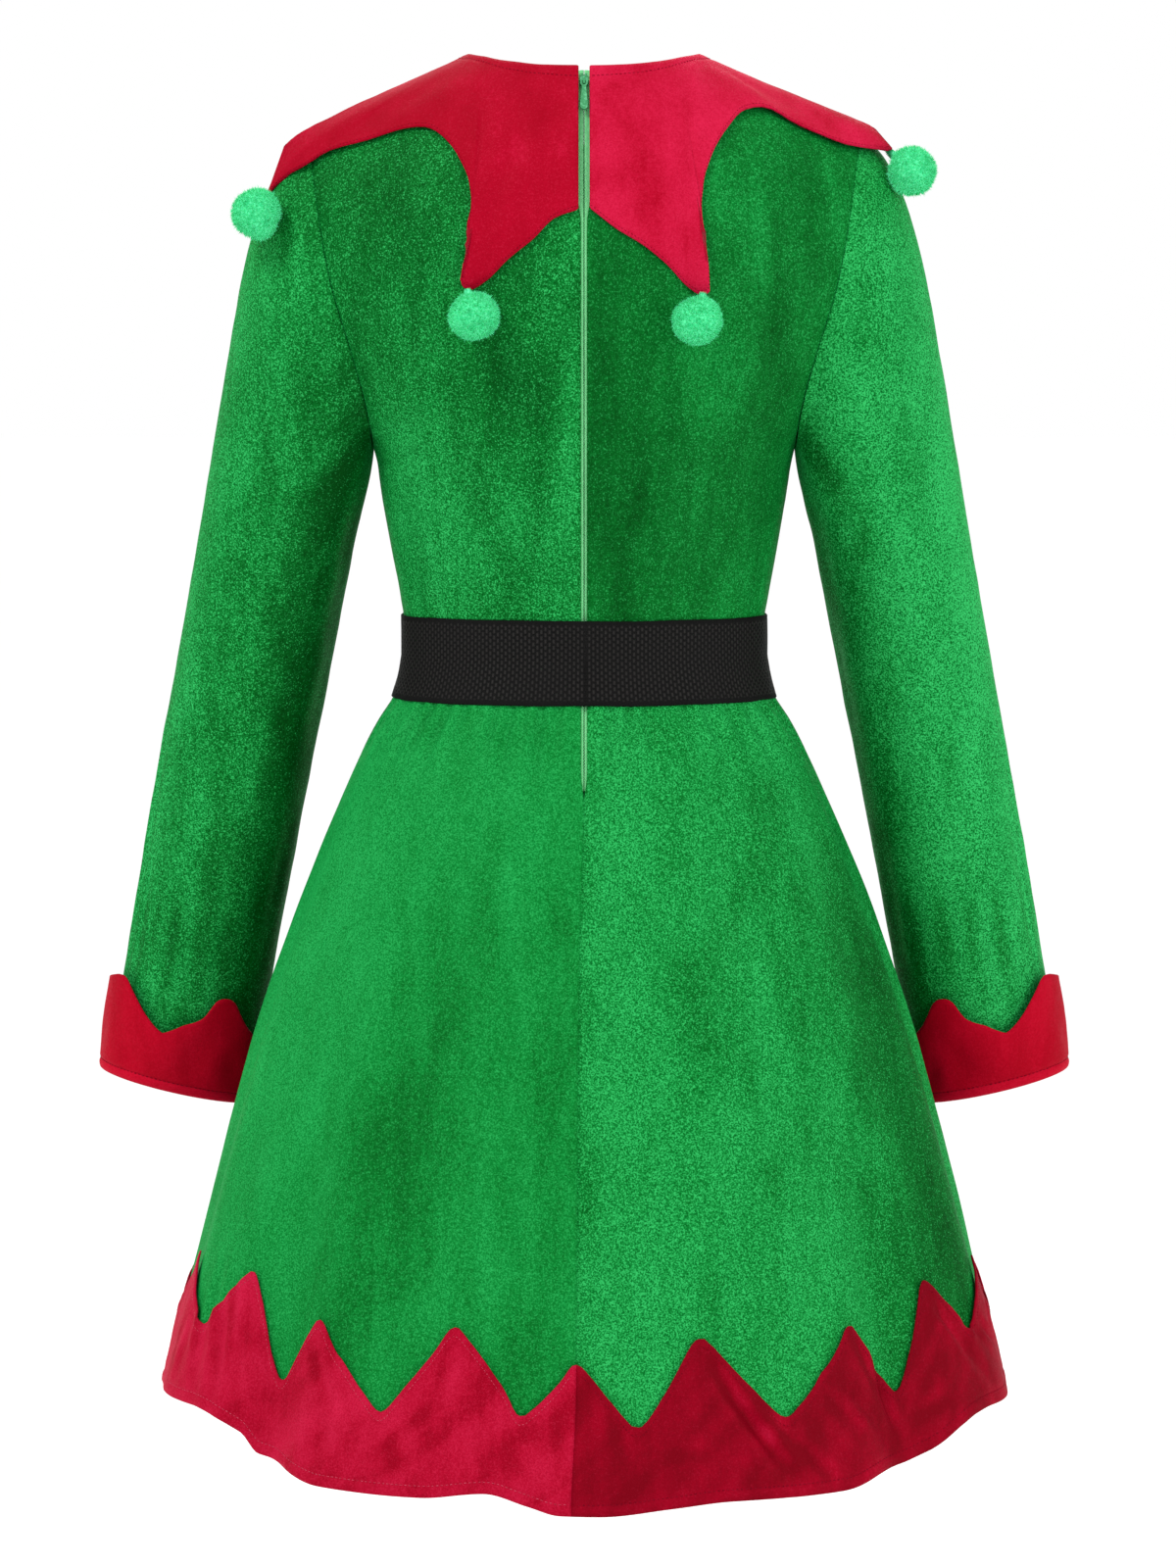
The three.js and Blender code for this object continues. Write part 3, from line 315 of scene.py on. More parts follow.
def woven_tape():
    """Zip tape: fine twill ribs along the tape, from the UV map."""
    m, nt, bsdf = new_material("zip_tape")
    uv = nt.nodes.new("ShaderNodeUVMap")
    uv.uv_map = "cloth"
    sep = node(nt, "ShaderNodeSeparateXYZ", {0: uv.outputs[0]})
    diag = maths(nt, "ADD", maths(nt, "MULTIPLY", sep.outputs[0], 1600.0), maths(nt, "MULTIPLY", sep.outputs[1], 900.0))
    rib = maths(nt, "ABSOLUTE", maths(nt, "SUBTRACT", maths(nt, "FRACT", diag), 0.5))
    n = node(nt, "ShaderNodeTexNoise", {"Vector": coords(nt, (1, 1, 0.3)), "Scale": 800, "Detail": 2}).outputs[0]
    f = maths(nt, "ADD", maths(nt, "MULTIPLY", rib, 0.8), maths(nt, "MULTIPLY", n, 0.5))
    nt.links.new(mixed(nt, spread(nt, f, 0.2, 0.7), rgb("58B870"), rgb("88DC9C")), bsdf.inputs["Base Color"])
    bsdf.inputs["Roughness"].default_value = 0.85
    bsdf.inputs["Specular IOR Level"].default_value = 0.05
    nt.links.new(node(nt, "ShaderNodeBump", {"Height": f, "Strength": 0.5, "Distance": 0.0003}).outputs[0], bsdf.inputs["Normal"])
    return m


def thread(name, a, b):
    m, nt, bsdf = new_material(name)
    n = node(nt, "ShaderNodeTexNoise", {"Vector": coords(nt), "Scale": 1500, "Detail": 1}).outputs[0]
    nt.links.new(mixed(nt, spread(nt, n, 0.35, 0.65), rgb(a), rgb(b)), bsdf.inputs["Base Color"])
    bsdf.inputs["Roughness"].default_value = 0.8
    bsdf.inputs["Specular IOR Level"].default_value = 0.04
    return m


def enamel():
    """Painted zip metal: glossy mint paint, a little duller and darker where hands wear it."""
    m, nt, bsdf = new_material("zip_enamel")
    n = node(nt, "ShaderNodeTexNoise", {"Vector": coords(nt), "Scale": 500, "Detail": 3}).outputs[0]
    nt.links.new(mixed(nt, spread(nt, n, 0.45, 0.75), rgb("3C9A60"), rgb("6ECC94")), bsdf.inputs["Base Color"])
    nt.links.new(spread(nt, n, 0.4, 0.7, 0.22, 0.36), bsdf.inputs["Roughness"])
    bsdf.inputs["Metallic"].default_value = 0.8
    bsdf.inputs["Coat Weight"].default_value = 0.4
    bsdf.inputs["Coat Roughness"].default_value = 0.15
    return m


ELASTIC, FLUFF, TAPE, ENAMEL = elastic(), fluff(), woven_tape(), enamel()
# A lighter copy of the red thread, as painted light, for the stitches of the left back's hem band.
RED_THREAD_LIT = thread("red_thread_lit", "A01830", "C85068")
RED_THREAD_DARK = thread("red_thread_dark", "5A0010", "8E0C24")
# The coil is coloured near black as painted shade of the narrow gap between the tapes.
COIL_PAINTED_SHADE = thread("zip_coil", "010602", "04180A")

# ---------------------------------------------------------------- cloth shells


def unit(n):
    return n / np.maximum(np.linalg.norm(n, axis=-1, keepdims=True), 1e-12)


def grid_normals(g, closed=False):
    du = np.roll(g, -1, 1) - np.roll(g, 1, 1)
    if not closed:
        du[:, 0], du[:, -1] = g[:, 1] - g[:, 0], g[:, -1] - g[:, -2]
    dv = np.empty_like(g)
    dv[1:-1], dv[0], dv[-1] = g[2:] - g[:-2], g[1] - g[0], g[-1] - g[-2]
    return unit(np.cross(du, dv))


def outwards(n, away):
    """Turns a field of normals so that it looks along away on the whole."""
    return n if (n * away).sum() > 0 else -n


# How strongly the painted glints and painted shade specks of the pile show on a piece, where it isn't 1: fewer on the
# pieces that look smoother.
PAINTED_SPECKS = {"skirt_back_left_velvet": 0.45, "bodice_back_right_velvet": 0.6, "skirt_back_right_velvet": 0.85, "bodice_front_velvet": 0.8, "skirt_front_velvet": 0.8, "hem_trim_back_right_velvet": 0.6}


def make(name, verts, faces, material, smooth=True, inner=None, back=None, uv=None, tone=None):
    """A mesh object from points in mm and quads or triangles, padded with -1."""
    me = bpy.data.meshes.new(name)
    faces = [tuple(int(i) for i in f if i >= 0) for f in faces]
    me.from_pydata((np.asarray(verts) / 1000).tolist(), [], faces)
    me.materials.append(material)
    if back is not None:
        me.materials.append(back)
        me.polygons.foreach_set("material_index", np.asarray(inner, np.int32))
    me.polygons.foreach_set("use_smooth", np.full(len(me.polygons), smooth))
    a = me.attributes.new("tone", "FLOAT", "POINT")
    a.data.foreach_set("value", np.zeros(len(verts), np.float32) if tone is None else np.asarray(tone, np.float32))
    a = me.attributes.new("painted_specks", "FLOAT", "POINT")
    a.data.foreach_set("value", np.full(len(verts), PAINTED_SPECKS.get(name, 1.0), np.float32))
    if uv is not None:
        layer = me.uv_layers.new(name="cloth")
        index = np.empty(len(me.loops), np.int32)
        me.loops.foreach_get("vertex_index", index)
        layer.data.foreach_set("uv", np.asarray(uv, np.float32)[index].ravel())
    me.update()
    me.validate()
    o = bpy.data.objects.new(name, me)
    scene.collection.objects.link(o)
    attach(o, "garment")
    return o


def shell(name, g, away, thick, material, back, closed=False, held=None, free=(), tone=None, uv=None, coarse=1):
    """A cloth shell: g is a grid of points on the shown face. Free edges are rounded, the others meet a seam."""
    held = held or {}
    nv, nu = g.shape[:2]
    n = outwards(grid_normals(g, closed), away)
    raw = grid_normals(g, closed)
    flip = (raw * n).sum() < 0
    n = n.copy()
    if "first" in held:
        n[:, 0, held["first"]] = 0
    if "last" in held:
        n[:, -1, held["last"]] = 0
    if "plane" in held:
        n[held["plane"]] *= np.array([1, 0, 1])
    inner = g - unit(n) * thick
    verts = [g.reshape(-1, 3), inner.reshape(-1, 3)]
    ids = np.arange(nv * nu).reshape(nv, nu)
    low = ids + nv * nu
    if closed:
        ids, low = np.c_[ids, ids[:, :1]], np.c_[low, low[:, :1]]
    quads = [
        np.stack([ids[:-1, :-1], ids[:-1, 1:], ids[1:, 1:], ids[1:, :-1]], -1).reshape(-1, 4),
        np.stack([low[:-1, :-1], low[1:, :-1], low[1:, 1:], low[:-1, 1:]], -1).reshape(-1, 4),
    ]
    flag = [np.zeros(len(quads[0]), int), np.ones(len(quads[1]), int)]
    tones = [np.zeros((nv, nu)) if tone is None else np.broadcast_to(tone, (nv, nu))] * 2
    tones = [t.reshape(-1) for t in tones]
    uvs = [np.zeros((nv, nu, 2)) if uv is None else uv] * 2
    uvs = [t.reshape(-1, 2) for t in uvs]
    count = 2 * nv * nu

    def rim(a, b, top, bottom, towards, edge_free, tone_row, uv_row, turn):
        nonlocal count
        if edge_free:
            mid = (top + bottom) / 2 + unit(towards) * thick * 0.42
            verts.append(mid)
            tones.append(tone_row)
            uvs.append(uv_row)
            c = count + np.arange(len(mid))
            if closed and len(c) + 1 == len(a):
                c = np.r_[c, c[:1]]
            count += len(mid)
            pairs = [(a, c), (c, b)]
        else:
            pairs = [(a, b)]
        for p, q in pairs:
            f = np.stack([p[:-1], q[:-1], q[1:], p[1:]], -1)
            quads.append(f if turn else f[:, ::-1])
            flag.append(np.zeros(len(f), int))

    t2, u2 = tones[0].reshape(nv, nu), uvs[0].reshape(nv, nu, 2)
    rim(ids[0], low[0], g[0], inner[0], g[0] - g[1], "bottom" in free, t2[0], u2[0], True)
    rim(ids[-1], low[-1], g[-1], inner[-1], g[-1] - g[-2], "top" in free, t2[-1], u2[-1], False)
    if not closed:
        rim(ids[:, 0], low[:, 0], g[:, 0], inner[:, 0], g[:, 0] - g[:, 1], "first" in free, t2[:, 0], u2[:, 0], False)
        rim(ids[:, -1], low[:, -1], g[:, -1], inner[:, -1], g[:, -1] - g[:, -2], "last" in free, t2[:, -1], u2[:, -1], True)
    faces, flag = np.concatenate(quads), np.concatenate(flag)
    if flip:
        faces = faces[:, ::-1]
    return make(name, np.concatenate(verts), faces, material, inner=flag, back=back, uv=np.concatenate(uvs), tone=np.concatenate(tones))


def walk(line, step):
    """Points and tangents at even steps along a polyline in mm."""
    seg = np.linalg.norm(np.diff(line, axis=0), axis=1)
    s = np.r_[0, np.cumsum(seg)]
    at = np.arange(step / 2, s[-1], step)
    p = np.stack([np.interp(at, s, line[:, k]) for k in range(3)], -1)
    return p, at, s


def stitches(name, line, normal, pitch, long, thick, material, lift=0.05, seed=1, tilt=0.0):
    """A row of machine stitches along a line on the cloth: each is a small spindle sunk by half its thickness."""
    p, at, s = walk(line, pitch)
    n = unit(np.stack([np.interp(at, s, normal[:, k]) for k in range(3)], -1))
    q, _, _ = walk(line, pitch)
    ahead = np.stack([np.interp(at + 0.3, s, line[:, k]) for k in range(3)], -1)
    behind = np.stack([np.interp(at - 0.3, s, line[:, k]) for k in range(3)], -1)
    t = unit(ahead - behind)
    b = unit(np.cross(n, t))
    if tilt:
        t = unit(t * math.cos(tilt) + b * math.sin(tilt))
        b = unit(np.cross(n, t))
    r = np.random.RandomState(seed)
    verts, faces = [], []
    rings = [(-0.5, 0.15, -0.5), (-0.3, 0.9, 0.1), (0.0, 1.0, 0.35), (0.3, 0.9, 0.1), (0.5, 0.15, -0.5)]
    k = 6
    for i in range(len(p)):
        start = len(verts)
        l, w = long * (0.9 + 0.2 * r.rand()), thick * (0.9 + 0.2 * r.rand())
        jog = b[i] * (r.rand() - 0.5) * 0.12
        for a, f, h in rings:
            c = p[i] + jog + t[i] * a * l + n[i] * (lift + h * w * 0.5)
            for j in range(k):
                ang = 2 * PI * j / k
                verts.append(c + (b[i] * math.cos(ang) + n[i] * math.sin(ang)) * w / 2 * f)
        for a in range(len(rings) - 1):
            for j in range(k):
                faces.append((start + a * k + j, start + a * k + (j + 1) % k, start + (a + 1) * k + (j + 1) % k, start + (a + 1) * k + j))
        faces.append(tuple(start + j for j in range(k))[::-1])
        faces.append(tuple(start + (len(rings) - 1) * k + j for j in range(k)))
    o = make(name, np.array(verts), faces, material)
    return o


# ---------------------------------------------------------------- form of the garment

GAP = 0.3
SEAM = -0.2  # how far each panel stops short of a closed seam: less than 0, so that no light comes through
UNDERARM, WAIST = -219.0, -346.0
NECK_X, NECK_Z, NECK_BACK, NECK_FRONT, NECK_RISE = 70.5, 23.0, 57.0, 66.0, 16.0
SLOPE, ROUND = 0.457, 3.2
BELT_TOP, BELT_FOOT = -321.0, -371.0

body = Table(
    ["z", "half", "edge", "back", "front", "square"],
    [
        [40, 205, 175, 104, 74, 2.4],
        [0, 203, 172.5, 105, 78, 2.4],
        [-24, 201, 170, 105.5, 82, 2.4],
        [-50, 197, 166, 106, 88, 2.4],
        [-86, 190, 160.5, 106, 96, 2.4],
        [-120, 181, 153.5, 105, 105, 2.4],
        [-155, 167, 143, 103.5, 114, 2.4],
        [-185, 151, 135, 101.5, 119, 2.35],
        [-205, 138.5, 131.5, 100, 121, 2.3],
        [-219, 130.6, 130.6, 98.5, 121, 2.25],
        [-250, 125.2, 125.2, 93, 117, 2.15],
        [-280, 119.9, 119.9, 86.5, 109, 2.1],
        [-310, 114.6, 114.6, 80, 100, 2.03],
        [-325, 112.3, 112.3, 77.5, 96.5, 2],
        [-346, 112.3, 112.3, 77, 95.5, 2],
    ],
)
head = Table(["x", "z"], [[150, -13.3], [165, -20.4], [172, -24], [182, -33], [189, -44], [194, -56], [199, -70]])


def ridge(x):
    a = np.abs(x)
    near = NECK_Z + NECK_RISE * (1 - (a / NECK_X) ** 2)
    return np.where(a < NECK_X, near, np.where(a < 165, NECK_Z - SLOPE * (a - NECK_X), head("z", a)))


def across(x, z):
    return np.sqrt(np.maximum(0, 1 - np.minimum(1, np.abs(x) / body("half", z)) ** body("square", z)))


def deep(z, face):
    return np.where(np.asarray(face) > 0, body("back", z), body("front", z))


def depth(x, z, face):
    t = np.clip((z - UNDERARM) / (ridge(x) - UNDERARM), 0, 1)
    return face * deep(z, face) * across(x, z) * np.sqrt(np.maximum(0, 1 - t**ROUND))


def yoke(x, w):
    z = UNDERARM + (ridge(x) - UNDERARM) * (np.cos(w) ** 2) ** (1 / ROUND)
    return np.stack([x + 0 * w, deep(z, np.where(w >= 0, 1, -1)) * across(x, z) * np.sin(w), z], -1)


def yoke_angle(x, z, face):
    t = np.clip((z - UNDERARM) / (ridge(x) - UNDERARM), 0, 1)
    return face * np.arccos(t ** (ROUND / 2))


def yoke_normal(x, w):
    e, g = 0.4, 0.004
    n = unit(np.cross(yoke(x + e, w) - yoke(x - e, w), yoke(x, w + g) - yoke(x, w - g)))
    bad = (n[..., 2] < -0.2) | (n[..., 1] * np.sin(w) < -0.2)
    return np.where(bad[..., None], -n, n)


def neck_height(x, face):
    y = np.where(np.asarray(face) > 0, NECK_BACK, NECK_FRONT) * np.sqrt(np.maximum(0, 1 - (x / NECK_X) ** 2))
    z = 0.0 * x
    for _ in range(60):
        d = deep(z, face) * np.maximum(0.001, across(x, z))
        s = np.minimum(1, y / d)
        z = 0.5 * z + 0.5 * (UNDERARM + (ridge(x) - UNDERARM) * (1 - s * s) ** (1 / ROUND))
    return z


zip_half = Table(["z", "half"], [[40, 3.9], [-60, 3.9], [-80, 1.8], [-410, 1.8], [-432, SEAM], [-900, SEAM]])


def column_x(s, z):
    return body("half", z) * np.sin(s * np.arcsin(np.minimum(1, body("edge", z) / body("half", z))))


def column_top(s, face):
    z = 0.0 * s
    for _ in range(60):
        x = column_x(s, z)
        z = 0.5 * z + 0.5 * np.where(x < NECK_X - 0.01, neck_height(np.minimum(x, NECK_X), face), ridge(x))
    return z


# Creases of the bodice in mm, as (x, z) on each face: from, to, width, height, bow.
BACK_LEFT = [
    (52, -150, 34, -214, 13, -2.6, 4), (80, -128, 62, -196, 9, -1.2, -3), (26, -118, 20, -190, 8, -0.9, 2),
    (128, -212, 86, -188, 6, -1.6, 3), (126, -226, 92, -222, 5, -1.1, -2), (122, -176, 104, -132, 8, -1.2, 4),
    (112, -246, 98, -318, 9, -1.1, 3), (104, -300, 101, -322, 3.2, -0.9, 0), (90, -304, 92, -323, 3, -0.8, 0),
    (74, -296, 78, -323, 3.6, -0.9, 1), (57, -306, 58, -324, 2.8, -0.8, 0), (42, -300, 39, -324, 3.4, -0.9, -1),
    (22, -308, 23, -324, 2.6, -0.7, 0), (70, -222, 54, -300, 15, -1.4, 5), (34, -236, 30, -306, 10, -0.9, -3),
    (138, -44, 118, -96, 10, -1.2, 4), (12, -226, 11, -318, 4, -0.7, 0.6),
]
BACK_RIGHT = [
    (-46, -152, -38, -206, 11, -1.9, -3), (-84, -130, -70, -206, 10, -1.3, 4), (-24, -126, -26, -204, 9, -0.8, 2),
    (-128, -214, -90, -186, 6, -1.5, -3), (-125, -229, -94, -228, 5, -1.0, 2), (-124, -170, -108, -124, 8, -1.3, -4),
    (-108, -250, -92, -316, 8, -1.0, -3), (-106, -303, -104, -323, 3, -0.9, 0), (-88, -298, -90, -323, 3.2, -0.9, 1),
    (-71, -306, -70, -324, 2.8, -0.7, 0), (-55, -297, -58, -324, 3.4, -1.0, 0), (-36, -305, -35, -324, 3, -0.8, 0),
    (-19, -302, -20, -324, 2.6, -0.7, 0), (-74, -226, -60, -298, 14, -1.3, -5), (-36, -232, -42, -300, 11, -1.0, 3),
    (-140, -48, -116, -100, 10, -1.4, -4), (-12, -220, -11, -316, 4, -0.6, -0.6),
]
FRONT = [
    (128, -212, 82, -176, 7, -1.8, -3), (126, -228, 88, -214, 6, -1.3, 2), (-128, -213, -84, -178, 7, -1.7, 3),
    (-126, -229, -90, -217, 6, -1.2, -2), (120, -170, 98, -120, 9, -1.3, -4), (-121, -172, -100, -118, 9, -1.4, 4),
    (72, -196, 60, -300, 16, -1.8, 4), (-70, -194, -64, -296, 15, -1.7, -5), (18, -150, 10, -286, 14, -1.3, 3),
    (-24, -160, -20, -270, 12, -1.1, -3), (106, -298, 104, -323, 3.2, -0.9, 0), (88, -304, 90, -323, 3, -0.8, 0),
    (70, -297, 68, -324, 3.4, -1.0, 1), (50, -305, 52, -324, 3, -0.8, 0), (31, -299, 29, -324, 3.6, -0.9, 0),
    (12, -306, 12, -324, 2.8, -0.7, 0), (-7, -301, -8, -324, 3.2, -0.9, 0), (-28, -304, -27, -324, 2.8, -0.8, 0),
    (-47, -298, -50, -324, 3.4, -0.9, 0), (-68, -305, -67, -324, 3, -0.8, 0), (-86, -300, -89, -323, 3.2, -0.9, 0),
    (-105, -304, -104, -323, 3, -0.8, 0), (138, -46, 116, -98, 10, -1.3, 4), (-138, -44, -118, -96, 10, -1.2, -4),
]


def bodice_grid(face, sgn, listed, nu, seed):
    """Grid of a bodice side, centre line first, and the cloth's height over the plain form."""
    s = np.linspace(0, 1, nu)[None, :]
    low = np.linspace(WAIST + GAP / 2, UNDERARM, 56)[:-1, None] + 0 * s
    rise = ((1 - np.cos(PI * np.linspace(0, 1, 74))) / 2)[:, None]
    top = column_top(s[0], face)[None, :]
    z = np.concatenate([low, UNDERARM + rise * (top - UNDERARM)])
    gap = zip_half("half", z) if face > 0 else 0 * z
    wide = column_x(1.0, z)
    x = gap + column_x(s, z) * (wide - gap) / wide
    y = depth(x, z, face) + face * SEAM
    g = np.stack([sgn * x, y, z], -1)
    n = outwards(grid_normals(g), g * np.array([1, 1, 0.0]))
    h = creases(sgn * x, z, listed) + 0.35 * ripple(sgn * x + 300, z + 900, 26, seed) * np.clip((-70 - z) / 60, 0.2, 1)
    # Turned seam edges: the cloth dips into the seam.
    side = (wide - x) * 1.0
    h -= 0.25 * np.exp(-((side / 1.8) ** 2)) * np.clip((z + 360) / 30, 0, 1)
    if face > 0:
        h -= 0.5 * np.exp(-(((x - gap) / 1.4) ** 2))
    shoulder = np.where(x > NECK_X, top - z, 99)
    h -= 0.7 * np.exp(-((shoulder / 2.2) ** 2))
    # Under the belt the cloth lies flat.
    h = h * np.clip((z - BELT_TOP) / 4 + 0.35, 0.1, 1)
    # The edges at seams keep their place in the seam's plane.
    plane = np.abs(y) < 6
    n = np.where(plane[..., None], unit(n * np.array([1, 0, 1]) + 1e-9), n)
    return g + n * np.maximum(h, -3)[..., None], sgn * x, z


def bodice_tone(x, z, face, sgn):
    """Random tone, lighter (+) or darker (-), with painted shade: on the left back, lighter upright strips, a painted
    shadow below the left collar point and its pompom, and painted shade below the collar near the shoulder; the right
    back painted darker low down, beside the zip and near the armhole.
    """
    t = 0.10 * ripple(x + 300, z + 900, 38, 5 if face > 0 else 6) + 0.05 * np.clip((-180 - z) / 100, 0, 1)
    if face > 0 and sgn > 0:
        t = t + 0.10 * np.exp(-(((x - 9) / 7) ** 2)) * np.clip((-120 - z) / 60, 0, 1) + 0.10 * np.exp(-(((x - 100) / 26) ** 2)) * np.clip((-150 - z) / 60, 0, 1)
        # Painted shadow below the left collar point and its pompom, and painted shade below the collar near the
        # shoulder.
        t = t - 0.16 * np.exp(-(((x - 42) / 26) ** 2) - ((z + 178) / 34) ** 2) - 0.10 * np.exp(-(((x - 118) / 26) ** 2) - ((z + 70) / 60) ** 2)
    # Painted shade: the right back darker low down, beside the zip and near the armhole.
    if face > 0 and sgn < 0:
        t = t - 0.13 * np.clip((-150 - z) / 80, 0, 1) - 0.10 * np.exp(-(((x + 20) / 16) ** 2)) + 0.05 * np.exp(-(((x + 90) / 26) ** 2)) - 0.12 * np.exp(-(((x + 118) / 22) ** 2) - ((z + 150) / 80) ** 2)
    return t


UP = np.array([1, 1, 0.0])
NU = 84


def note(o):
    """Returns the shell unchanged."""
    return o


for sgn, side, listed in ((1, "left", BACK_LEFT), (-1, "right", BACK_RIGHT)):
    g, gx, gz = bodice_grid(1, sgn, listed, NU, 11 if sgn > 0 else 12)
    flat_top = np.abs(g[..., 1]) < 1.5
    o = shell(f"bodice_back_{side}_velvet", g, g * UP, 1.3, GREEN, GREEN_BACK, held={"first": 0, "plane": flat_top},
              tone=bodice_tone(gx, gz, 1, sgn))
    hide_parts(f"bodice_back_{side}")
    note(o)
halves = []
for sgn in (-1, 1):
    g, gx, gz = bodice_grid(-1, sgn, FRONT, NU, 13)
    halves.append((g, gx, gz))
(ga, xa, za), (gb, xb, zb) = halves
g = np.concatenate([ga[:, ::-1][:, :-1], gb], 1)
gx, gz = np.concatenate([xa[:, ::-1][:, :-1], xb], 1), np.concatenate([za[:, ::-1][:, :-1], zb], 1)
o = shell("bodice_front_velvet", g, g * UP, 1.3, GREEN, GREEN_BACK, held={"plane": np.abs(g[..., 1]) < 1.5}, tone=bodice_tone(gx, gz, -1, 1))
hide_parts("bodice_front")
note(o)

# ---------------------------------------------------------------- sleeves

sleeve = Table(
    ["v", "outX", "outZ", "inX", "inZ", "deep", "lie"],
    [
        [0, 170, -23, 130.6, -219, 56, 0],
        [1, 184.5, -37, 131.1, -224, 56, 0],
        [2, 195.5, -58, 132, -230, 55.5, 0],
        [3, 203.5, -80, 133.4, -237, 54.5, 0],
        [4, 211, -108, 135.6, -246, 53, -1],
        [5, 218.2, -144, 138.8, -258, 51.5, -5],
        [6, 226.2, -188, 142.6, -272, 50, -12],
        [7, 235, -236, 146.6, -292, 48.5, -20],
        [8, 246.6, -299.5, 152.4, -320, 47, -31],
        [9, 262.4, -382, 168.7, -400, 45, -46],
        [10, 281.2, -482, 188.6, -500, 43, -61],
        [11, 303.5, -604, 211.8, -621.7, 41, -80],
    ],
)
SHOULDER_TOP = float(column_top(np.array([1.0]), 1)[0])


def sleeve_section(u, v):
    k = (1 - np.cos(u)) / 2
    return np.stack([
        sleeve("outX", v) * k + sleeve("inX", v) * (1 - k),
        sleeve("lie", v) + sleeve("deep", v) * np.sin(u),
        sleeve("outZ", v) * k + sleeve("inZ", v) * (1 - k),
    ], -1)


def armhole(u):
    z = UNDERARM + ((1 - np.cos(u)) / 2) * (SHOULDER_TOP - UNDERARM)
    face = np.where(np.sin(u) >= 0, 1, -1)
    x = column_x(1.0, z)
    y = np.where(np.abs(np.sin(u)) < 1e-6, 0, depth(x, z, face))
    return np.stack([x, y, z], -1)


def sleeve_point(u, v):
    p = sleeve_section(u, v)
    fade = np.where(v < 5, (1 - v / 5) ** 2, 0)[..., None]
    p = p + (armhole(u) - sleeve_section(u, 0 * v)) * fade
    p[..., 0] += GAP * 0.5
    return p


# Creases of a sleeve as (angle round it in degrees, mm below the shoulder): 0 is the underarm, 90 the back.
SLEEVE_LEFT = [
    (158, 430, 160, 596, 2.6, -1.7, 0.8), (170, 398, 172, 592, 2.6, -1.6, -0.6), (148, 500, 146, 592, 3, -1.1, 0.6),
    (118, 520, 116, 596, 5, -0.9, 1), (96, 505, 92, 590, 6, -1.0, -1.5), (74, 535, 72, 596, 5, -0.8, 1), (52, 500, 56, 590, 6, -0.9, 1),
    (28, 470, 34, 570, 7, -1.0, -1), (104, 440, 100, 520, 9, -0.9, 2), (60, 380, 66, 470, 10, -1.1, -2),
    (40, 120, 66, 196, 8, -1.7, 3), (22, 150, 60, 232, 8, -1.5, -3), (30, 205, 72, 268, 9, -1.2, 3), (112, 30, 100, 120, 10, -1.3, -3),
    (140, 22, 128, 96, 9, -1.2, 2), (86, 60, 82, 150, 9, -1.2, 3), (66, 96, 70, 170, 8, -1.0, -2), (120, 200, 112, 330, 13, -1.0, 4),
    (80, 260, 74, 380, 12, -0.9, -4), (20, 260, 26, 360, 9, -1.3, 2), (12, 330, 18, 450, 9, -1.1, -2), (36, 300, 70, 330, 9, -0.9, 3),
    (300, 150, 330, 230, 9, -1.6, 3), (322, 120, 296, 190, 8, -1.4, -3), (250, 60, 260, 150, 10, -1.2, 3), (222, 30, 232, 110, 9, -1.1, -2),
    (288, 280, 262, 330, 10, -1.6, 4), (330, 300, 300, 350, 9, -1.8, -3), (338, 270, 312, 300, 8, -1.5, 2), (272, 350, 292, 390, 9, -1.1, 3),
    (240, 400, 236, 560, 8, -1.0, 3), (266, 470, 270, 590, 6, -1.0, -1), (292, 500, 288, 592, 6, -0.9, 1), (314, 480, 318, 590, 6, -1.0, 1),
    (214, 440, 212, 594, 4, -1.2, -0.8), (196, 470, 198, 592, 3.4, -1.1, 0.6), (340, 460, 346, 570, 6, -0.9, -1),
]
SLEEVE_RIGHT = [
    (160, 410, 162, 594, 2.6, -1.6, -0.7), (172, 440, 170, 592, 2.6, -1.7, 0.7), (149, 480, 150, 590, 3, -1.0, -0.6),
    (120, 500, 122, 594, 5, -0.8, -1), (98, 530, 100, 596, 6, -0.9, 1.5), (76, 500, 80, 590, 5, -0.9, -1), (50, 525, 52, 594, 6, -0.8, -1),
    (30, 480, 26, 580, 7, -1.0, 1), (108, 420, 104, 500, 9, -1.0, -2), (64, 400, 58, 480, 10, -1.0, 2),
    (38, 112, 62, 190, 8, -1.6, -3), (24, 158, 58, 226, 8, -1.6, 3), (28, 212, 70, 280, 9, -1.1, -3), (114, 34, 104, 126, 10, -1.2, 3),
    (142, 26, 132, 90, 9, -1.3, -2), (88, 56, 86, 144, 9, -1.1, -3), (68, 90, 72, 176, 8, -1.1, 2), (124, 210, 116, 320, 13, -1.1, -4),
    (84, 250, 78, 372, 12, -1.0, 4), (18, 250, 24, 352, 9, -1.2, -2), (14, 340, 20, 440, 9, -1.2, 2), (38, 310, 68, 336, 9, -0.9, -3),
    (302, 144, 328, 236, 9, -1.5, -3), (320, 126, 298, 186, 8, -1.4, 3), (248, 66, 258, 156, 10, -1.3, -3), (224, 28, 230, 104, 9, -1.1, 2),
    (290, 286, 264, 340, 10, -1.7, -4), (328, 306, 302, 356, 9, -1.7, 3), (336, 262, 314, 296, 8, -1.4, -2), (270, 356, 290, 396, 9, -1.2, -3),
    (242, 410, 238, 548, 8, -1.0, -3), (268, 462, 266, 586, 6, -1.0, 1), (290, 508, 292, 592, 6, -0.9, -1), (316, 472, 312, 590, 6, -1.0, -1),
    (212, 430, 214, 592, 4, -1.1, 0.8), (198, 460, 196, 594, 3.4, -1.2, -0.6), (342, 466, 338, 576, 6, -0.9, 1),
]


